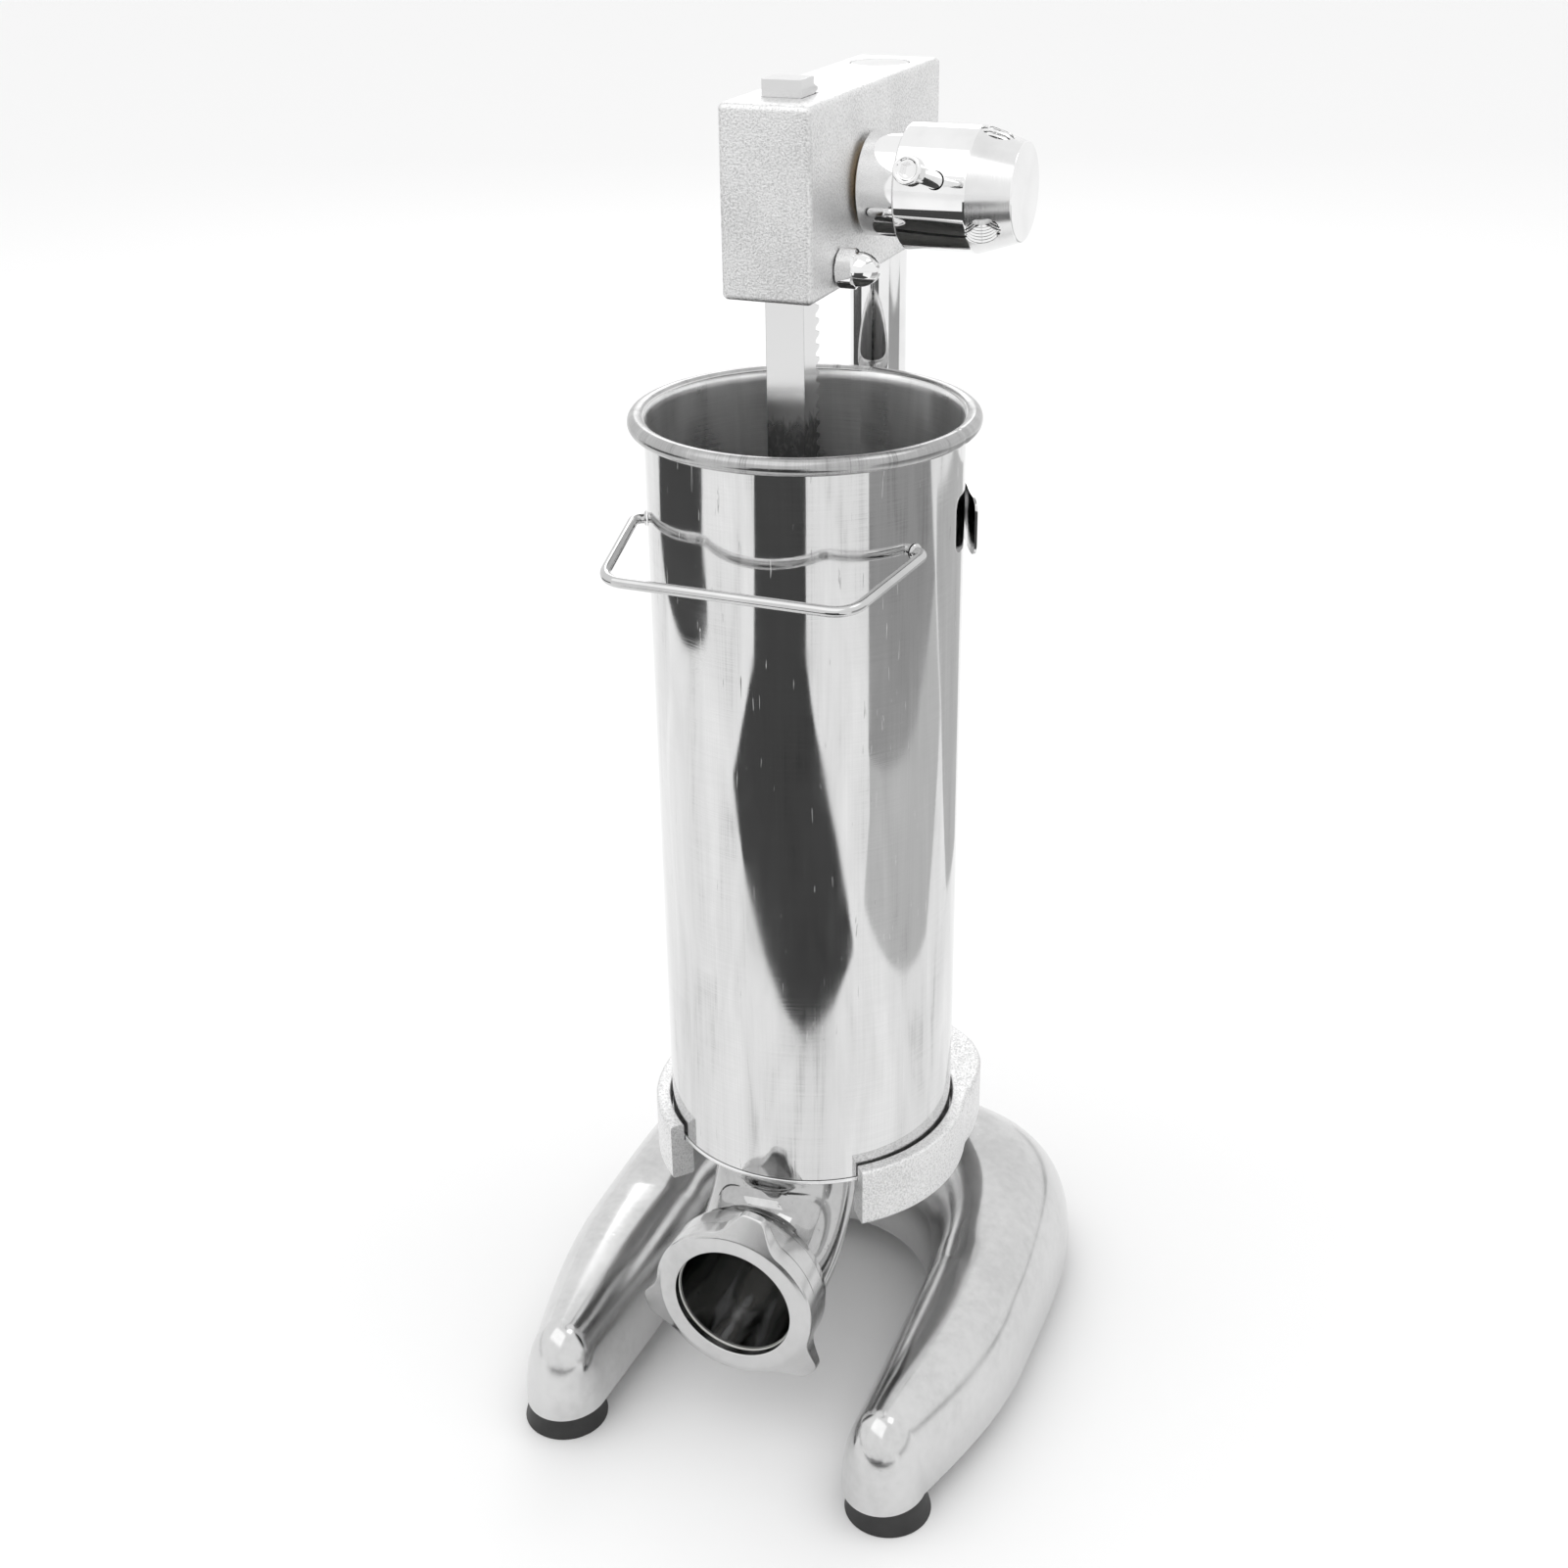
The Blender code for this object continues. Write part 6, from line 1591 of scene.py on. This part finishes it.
@dataclass
class Crank:
    """Shaft with its pinion, the hub on its end and the hub's clamping screw."""

    shaft_left: float = 0.0248
    shaft_right: float = 0.05417
    ring_x: float = -0.0221
    ring_groove: float = 0.001
    ring_reach: float = 0.0032
    teeth: int = 34
    width: float = 0.0196
    collar_radius: float = 0.0182
    start_x: float = 0.0188
    body_x: float = 0.0335
    cone_x: float = 0.0600
    end_x: float = 0.07567
    radius: float = 0.0221
    end_radius: float = 0.0171
    socket: float = 0.0064
    socket_depth: float = 0.011
    socket_share: float = 0.36
    thread_pitch: float = 0.0015
    thread_depth: float = 0.00055
    socket_angles: tuple = (math.radians(-34.0), math.radians(86.0), math.radians(206.0))
    screw_x: float = 0.0494
    screw_angle: float = math.radians(16.0)
    screw_radius: float = 0.003
    screw_start: float = 0.0093
    screw_hole_end: float = 0.027
    screw_socket: float = 0.0026
    screw_socket_depth: float = 0.0036
    screw_head: float = 0.005
    screw_head_height: float = 0.006
    screw_face: float = 0.0531

    def outward(self, angle: float, lean: float) -> Vector:
        """Unit direction from the axis at an angle above the front, leaning to the right."""
        away = Vector((0, -math.cos(angle), math.sin(angle)))
        return (away * math.cos(lean) + Vector((1, 0, 0)) * math.sin(lean)).normalized()

    def pinion_outline(self) -> Grid:
        """Outline of the pinion: each flank is an involute, turned by tan(p) - p at pressure angle p."""
        pitch = TOOTH_MODULE * self.teeth / 2
        base, tip = pitch * math.cos(TOOTH_PRESSURE), pitch + TOOTH_MODULE
        root = pitch - TOOTH_ROOT * TOOTH_MODULE
        radius = np.linspace(max(base, root), tip, 6)
        pressure = np.arccos(np.minimum(base / radius, 1))
        opening = math.tan(TOOTH_PRESSURE) - TOOTH_PRESSURE
        half = math.pi / (2 * self.teeth) - TOOTH_PLAY / pitch + opening - (np.tan(pressure) - pressure)
        radius = np.concatenate([[root], radius, radius[::-1], [root]])
        offset = np.concatenate([[-half[0]], -half, half[::-1], [half[0]]])
        middle = math.pi + 2 * math.pi * np.arange(self.teeth) / self.teeth
        turn = middle[:, None] + offset[None, :]
        return np.stack([radius * np.cos(turn), radius * np.sin(turn)], axis=2).reshape(-1, 2)

    def build_shaft(self, shop: Workshop) -> None:
        """Make the shaft with its groove and pinion, and the ring in the groove."""
        shaft, groove = SHAFT_RADIUS, SHAFT_RADIUS - self.ring_groove
        left, right = self.ring_x - 0.0015, self.ring_x + GAP
        section = rounded([
            (0, -self.shaft_left), (shaft, -self.shaft_left), (shaft, left), (groove, left),
            (groove, right), (shaft, right), (shaft, self.shaft_right), (0, self.shaft_right),
        ], [0, 0.0007, 0.0001, 0.0001, 0.0001, 0.0001, 0.0005, 0])
        skin = Skin().lathe(section, CRANK_STAND, 96)
        skin.prism(self.pinion_outline(), -self.width / 2, self.width / 2, CRANK_STAND)
        item = solid("pinion_shaft_surface", skin)
        shop.mount(item, shop.finishes.fastener, "crank", ("pinion_shaft",))
        inner, outer, left = groove + GAP, shaft + self.ring_reach, self.ring_x - 0.0012
        corners = [(inner, left), (outer, left), (outer, self.ring_x), (inner, self.ring_x)]
        section = rounded(corners, [0.0002] * 4)
        ring = solid("shaft_ring_surface", Skin().lathe(section, CRANK_STAND, 96))
        shop.mount(ring, shop.finishes.fastener, "crank", ("shaft_ring",))

    def socket_section(self) -> Outline:
        """Section of the cutter of a socket: six ring grooves in place of a thread, and a wider mouth."""
        crest, mouth = self.socket - self.thread_depth, self.socket + 0.0002
        section = [(0, -self.socket_depth), (crest, -self.socket_depth)]
        for turn in range(6):
            low = -self.socket_depth + 0.0012 + turn * self.thread_pitch
            section += [(crest, low), (self.socket, low + 0.0006), (self.socket, low + 0.0008),
                        (crest, low + 0.0014)]
        return section + [(crest, -0.0007), (mouth, 0.0004), (mouth, OVERRUN), (0, OVERRUN)]

    def build_hub(self, shop: Workshop) -> None:
        """Make the hub as a turned section, then cut its sockets and the hole of its screw."""
        bore, bore_end = SHAFT_RADIUS + GAP, self.shaft_right + GAP
        section = rounded([
            (bore, self.start_x), (self.collar_radius, self.start_x), (self.collar_radius, self.body_x),
            (self.radius, self.body_x), (self.radius, self.cone_x), (self.end_radius, self.end_x),
            (0, self.end_x), (0, bore_end), (bore, bore_end),
        ], [0.0002, 0.0007, 0.0003, 0.0010, 0.0004, 0.0005, 0, 0, 0.0001])
        item = solid("crank_hub_surface", Skin().lathe(section, CRANK_STAND, 192))
        centre = Vector((0, CRANK_Y, CRANK_Z))
        slope = math.atan2(self.radius - self.end_radius, self.end_x - self.cone_x)
        socket_x = self.cone_x + (self.end_x - self.cone_x) * self.socket_share
        reach = self.radius + (self.end_radius - self.radius) * self.socket_share
        tools = []
        for angle in self.socket_angles:
            mouth = centre + Vector((socket_x, 0, 0)) + self.outward(angle, 0) * reach
            axis = self.outward(angle, slope)
            tools.append(Skin().lathe(self.socket_section(), stand_along(mouth, axis), 72))
        start = centre + Vector((self.screw_x, 0, 0))
        hole = rod(self.screw_radius + GAP, 0, self.screw_hole_end)
        tools.append(Skin().lathe(hole, stand_along(start, self.outward(self.screw_angle, 0)), 48))
        carve(item, tools)
        item.data.materials.append(shop.finishes.hub)
        item.data.materials.append(shop.finishes.cone)
        centres, normals = read_faces(item)
        on_cone = (centres[:, 0] > self.cone_x + 0.0002) & (np.abs(normals[:, 0] - math.sin(slope)) < 0.02)
        item.data.polygons.foreach_set("material_index", on_cone.astype(np.int32))
        shop.mount(item, shop.finishes.hub, "crank", ("crank_hub",), 28.0)

    def build_screw(self, shop: Workshop) -> None:
        """Make the cap screw that clamps the hub, with a rounded head and a hexagonal socket."""
        head, face, dish = self.screw_face - self.screw_head_height, self.screw_face, self.screw_face - 0.0006
        section = rounded([
            (0, self.screw_start), (self.screw_radius, self.screw_start), (self.screw_radius, head),
            (self.screw_head, head), (self.screw_head, face), (0.0038, face), (0.0033, dish), (0, dish),
        ], [0, 0.0004, 0.0003, 0.0006, 0.0008, 0.0002, 0.0002, 0])
        start = Vector((self.screw_x, CRANK_Y, CRANK_Z))
        stand = stand_along(start, self.outward(self.screw_angle, 0))
        item = solid("hub_screw_surface", Skin().lathe(section, stand, 96))
        socket = hexagon(self.screw_socket, 0.4)
        carve(item, [Skin().prism(socket, face - self.screw_socket_depth, face + 0.002, stand)])
        soften(item, 0.00012)
        shop.mount(item, shop.finishes.hub, "crank", ("hub_screw",))

    def build(self, shop: Workshop) -> None:
        """Make everything that turns with the crank."""
        self.build_shaft(shop)
        self.build_hub(shop)
        self.build_screw(shop)


@dataclass
class Rack:
    """Toothed bar with the piston at its foot."""

    half_width: float = 0.0074
    front_y: float = -0.0182
    pitch_y: float = -0.00475
    low_z: float = 0.1396
    high_z: float = 0.541
    first_tooth: float = 0.186
    piston_low: float = 0.1193
    piston_top: float = 0.1393
    piston_radius: float = 0.0578
    piston_seat: float = 0.1312
    seal: float = 0.0585
    seal_half: float = 0.0027
    groove_depth: float = 0.0034
    groove_half: float = 0.003
    screw_y: float = -0.0108
    screw_hole: float = 0.0053
    screw_hole_depth: float = 0.024
    screw_head_hole: float = 0.0091

    def outline(self) -> Grid:
        """Side outline (y, z): a straight front, and trapezoid teeth one pitch apart on the back."""
        root = self.pitch_y - TOOTH_ROOT * TOOTH_MODULE
        tip = self.pitch_y + TOOTH_MODULE
        pitch = TOOTH_MODULE * math.pi
        half = pitch / 4 - TOOTH_PLAY
        half_tip = half - TOOTH_MODULE * math.tan(TOOTH_PRESSURE)
        half_root = half + TOOTH_ROOT * TOOTH_MODULE * math.tan(TOOTH_PRESSURE)
        lowest = math.ceil((self.first_tooth - CRANK_Z) / pitch)
        highest = math.floor((self.high_z - CRANK_Z) / pitch - 1)
        middle = CRANK_Z + (np.arange(highest, lowest - 1, -1) + 0.5) * pitch
        offsets = np.array([half_root, half_tip, -half_tip, -half_root])
        depths = np.array([root, tip, tip, root])
        heights = middle[:, None] + offsets
        teeth = np.stack([np.broadcast_to(depths, heights.shape), heights], axis=2)
        body = np.array([
            (root, self.low_z), (self.front_y, self.low_z), (self.front_y, self.high_z), (root, self.high_z),
        ])
        return np.concatenate([body, teeth.reshape(-1, 2)])

    def build_bar(self, shop: Workshop) -> None:
        """Make the rack, bored at its foot for the piston's screw."""
        bar = Skin().prism(self.outline(), -self.half_width, self.half_width, Stand(axes=Heading.RIGHT.value))
        item = solid("rack_bar_surface", bar)
        hole = rod(self.screw_hole, self.low_z - OVERRUN, self.low_z + self.screw_hole_depth)
        carve(item, [Skin().lathe(hole, Stand((0, self.screw_y, 0)), 32)])
        soften(item, 0.0004, 2, 30.0)
        shop.mount(item, shop.finishes.rack, "rack", ("rack_bar",))

    def build_piston(self, shop: Workshop) -> None:
        """Make the piston disc and the seal in its groove."""
        middle, disc = (self.piston_low + self.piston_top) / 2, self.piston_radius
        groove = disc - self.groove_depth
        low, high = middle - self.groove_half, middle + self.groove_half
        section = rounded([
            (0, self.piston_low), (disc, self.piston_low), (disc, low), (groove, low),
            (groove, high), (disc, high), (disc, self.piston_top), (0, self.piston_top),
        ], [0, 0.0011, 0.0002, 0.0002, 0.0002, 0.0002, 0.0011, 0])
        item = solid("piston_disc_surface", Skin().lathe(section, steps=160))
        low, high = self.piston_low - OVERRUN, self.piston_top + OVERRUN
        pocket = [(0, low), (self.screw_head_hole, low), (self.screw_head_hole, self.piston_seat),
                  (self.screw_hole, self.piston_seat), (self.screw_hole, high), (0, high)]
        carve(item, [Skin().lathe(pocket, Stand((0, self.screw_y, 0)), 64)])
        soften(item, 0.0003)
        shop.mount(item, shop.finishes.plastic, "rack", ("piston_disc",))
        inner, low, high = groove + GAP, middle - self.seal_half, middle + self.seal_half
        corners = [(inner, low), (self.seal, low), (self.seal, high), (inner, high)]
        section = rounded(corners, [0.0003, 0.0012, 0.0012, 0.0003])
        seal = solid("piston_seal_surface", Skin().lathe(section, steps=160))
        shop.mount(seal, shop.finishes.rubber, "rack", ("piston_seal",))
        for node in ("piston_washer", "piston_screw"):
            shop.dress(node, shop.finishes.fastener)

    def build(self, shop: Workshop) -> None:
        """Make the rack and the piston."""
        self.build_bar(shop)
        self.build_piston(shop)


@dataclass(frozen=True)
class Card:
    """A dark or grey card that stands in for the unlit parts of the studio; only mirrors show it.

    Its corners are in millimetres.
    """

    name: str
    corners: tuple
    lightness: float

    def build(self) -> None:
        """Make the card as one flat face with a dull finish."""
        skin = Skin().cap(np.array(self.corners, float) / 1000)
        item = solid(self.name, skin)
        paint = Painter(self.name, grey(self.lightness), 0.9, 0.0)
        item.data.materials.append(paint.material)
        for ray in ("visible_camera", "visible_shadow", "visible_diffuse", "visible_transmission"):
            setattr(item, ray, False)


@dataclass(frozen=True)
class Softbox:
    """Broad lamp that faces the machine, in metres and watts.

    The azimuth runs in degrees from +X towards +Y, and the elevation in degrees above the floor.
    """

    name: str
    azimuth: float
    elevation: float
    distance: float
    width: float
    height: float
    power: float
    aim_z: float = 0.25

    def build(self) -> None:
        """Hang the lamp at its distance from the machine's middle."""
        lamp = bpy.data.lights.new(self.name, "AREA")
        lamp.shape = "RECTANGLE"
        lamp.size, lamp.size_y = self.width, self.height
        lamp.energy = self.power
        turn, rise = math.radians(self.azimuth), math.radians(self.elevation)
        back = Vector((math.cos(turn) * math.cos(rise), math.sin(turn) * math.cos(rise), math.sin(rise)))
        item = bpy.data.objects.new(self.name, lamp)
        item.matrix_world = Matrix.Translation(Vector((0, 0, self.aim_z)) + back * self.distance) @ (
            back.to_track_quat("Z", "Y").to_matrix().to_4x4())
        bpy.context.scene.collection.objects.link(item)


@dataclass
class Studio:
    """Pale floor, soft light, dark and grey cards, and the camera."""

    azimuth: float = math.radians(22.97)
    elevation: float = math.radians(26.04)
    roll: float = math.radians(-0.8884)
    across: float = -0.009822
    height: float = 0.26736
    distance: float = 0.8418
    focal_share: float = 2132 / 1601
    sensor: float = 36.0
    brightness: float = 0.99
    floor_reach: float = 60.0

    def build_floor(self) -> None:
        """Make the pale floor, a large sheet of paper white whose dullness varies faintly."""
        ticks = np.linspace(-self.floor_reach, self.floor_reach, 13)
        x, y = np.meshgrid(ticks, ticks, indexing="ij")
        item = solid("studio_floor", Skin().grid(np.stack([x, y, 0 * x], axis=2)))
        paint = Painter("studio_paper", grey(0.93), 0.8, 0.0)
        paint.rough(paint.remap(paint.noise(3.0), 0.3, 0.7, 0.75, 0.9))
        item.data.materials.append(paint.material)

    def build_light(self) -> None:
        """Fill the room with even white light and add three weak softboxes."""
        world = bpy.data.worlds.new("studio_room")
        bpy.context.scene.world = world
        world.use_nodes = True
        background = world.node_tree.nodes["Background"]
        background.inputs["Color"].default_value = (1, 1, 1, 1)
        background.inputs["Strength"].default_value = self.brightness
        bpy.context.scene.view_settings.view_transform = "Standard"
        Softbox("softbox_front", azimuth=-111.0, elevation=56.0, distance=2.4,
                width=3.0, height=1.9, power=9.0).build()
        Softbox("softbox_back", azimuth=113.0, elevation=30.0, distance=2.6,
                width=1.2, height=0.9, power=5.0).build()
        Softbox("softbox_right", azimuth=15.0, elevation=62.0, distance=2.6,
                width=1.0, height=1.0, power=3.0).build()

    def build_cards(self) -> None:
        """Lay out the dark and grey cards that give the steel its upright bands."""
        Card("card_front", (
            (-500, -2200, 1), (-312, -1378, 1), (-236, -861, 1), (-322, -685, 1), (-371, -554, 1),
            (-316, -522, 1), (-229, -477, 1), (-151, -450, 1), (-85, -422, 1), (-20, -393, 1),
            (40, -362, 1), (100, -332, 1), (184, -309, 1), (273, -284, 1), (355, -256, 1),
            (377, -323, 1), (390, -425, 1), (379, -567, 1), (342, -705, 1), (329, -835, 1),
            (549, -1306, 1), (920, -2200, 1),
        ), 0.03).build()
        Card("card_left", (
            (-1335, 298, 2), (-1085, 293, 2), (-977, 141, 2), (-910, -52, 2), (-826, -284, 2),
            (-753, -492, 2), (-740, -574, 2), (-796, -616, 2), (-958, -658, 2), (-1090, -792, 2),
            (-2000, -1450, 2), (-2100, 470, 2),
        ), 0.03).build()
        Card("card_right", (
            (640, -285, 3), (708, -313, 3), (975, -430, 3), (1286, -568, 3),
            (1900, -840, 3), (1900, 1070, 3), (1197, 672, 3), (822, 615, 3), (700, 200, 3),
        ), 0.32).build()
        Card("card_right_near", (
            (430, -230, 2), (563, -241, 2), (680, -300, 2), (760, 0, 2),
            (822, 615, 2), (506, 522, 2), (360, 200, 2),
        ), 0.55).build()
        Card("card_back", (
            (217, 380, 4), (506, 540, 4), (822, 640, 4), (1000, 760, 4),
            (640, 1250, 4), (120, 1300, 4), (60, 480, 4),
        ), 0.50).build()

    def build_camera(self) -> None:
        """Stand the camera at the photograph's angle."""
        azimuth, elevation = self.azimuth, self.elevation
        back = Vector((math.sin(azimuth) * math.cos(elevation), -math.cos(azimuth) * math.cos(elevation),
                       math.sin(elevation)))
        right = Vector((math.cos(azimuth), math.sin(azimuth), 0))
        up = back.cross(right)
        turned_right = right * math.cos(self.roll) + up * math.sin(self.roll)
        turned_up = up * math.cos(self.roll) - right * math.sin(self.roll)
        place = right * self.across + Vector((0, 0, self.height)) + back * self.distance
        lens = bpy.data.cameras.new("studio_camera")
        lens.sensor_width = self.sensor
        lens.lens = self.sensor * self.focal_share
        lens.clip_start = 0.01
        camera = bpy.data.objects.new("studio_camera", lens)
        axes = Matrix((turned_right, turned_up, back)).transposed().to_4x4()
        camera.matrix_world = Matrix.Translation(place) @ axes
        bpy.context.scene.collection.objects.link(camera)
        bpy.context.scene.camera = camera

    def build(self) -> None:
        """Make the whole studio."""
        self.build_camera()
        self.build_floor()
        self.build_light()
        self.build_cards()


def main() -> None:
    """Build the studio, then every sub-assembly from the floor up."""
    logging.basicConfig(level=logging.INFO, format="%(message)s")
    Studio().build()
    shop = Workshop(Finishes())
    BaseCasting().build(shop)
    for end, (x, y) in (("front", FRONT_FOOT), ("rear", REAR_FOOT)):
        Foot(f"foot_{end}_right", x, y).build(shop)
        Foot(f"foot_{end}_left", -x, y).build(shop)
    Column().build(shop)
    RingBracket().build(shop)
    Barrel().build(shop)
    Outlet().build(shop)
    SteadyBand().build(shop)
    GearBlock().build(shop)
    Crank().build(shop)
    Rack().build(shop)
    LOG.info("%d pieces made", len(shop.made))


if __name__ == "__main__":
    main()
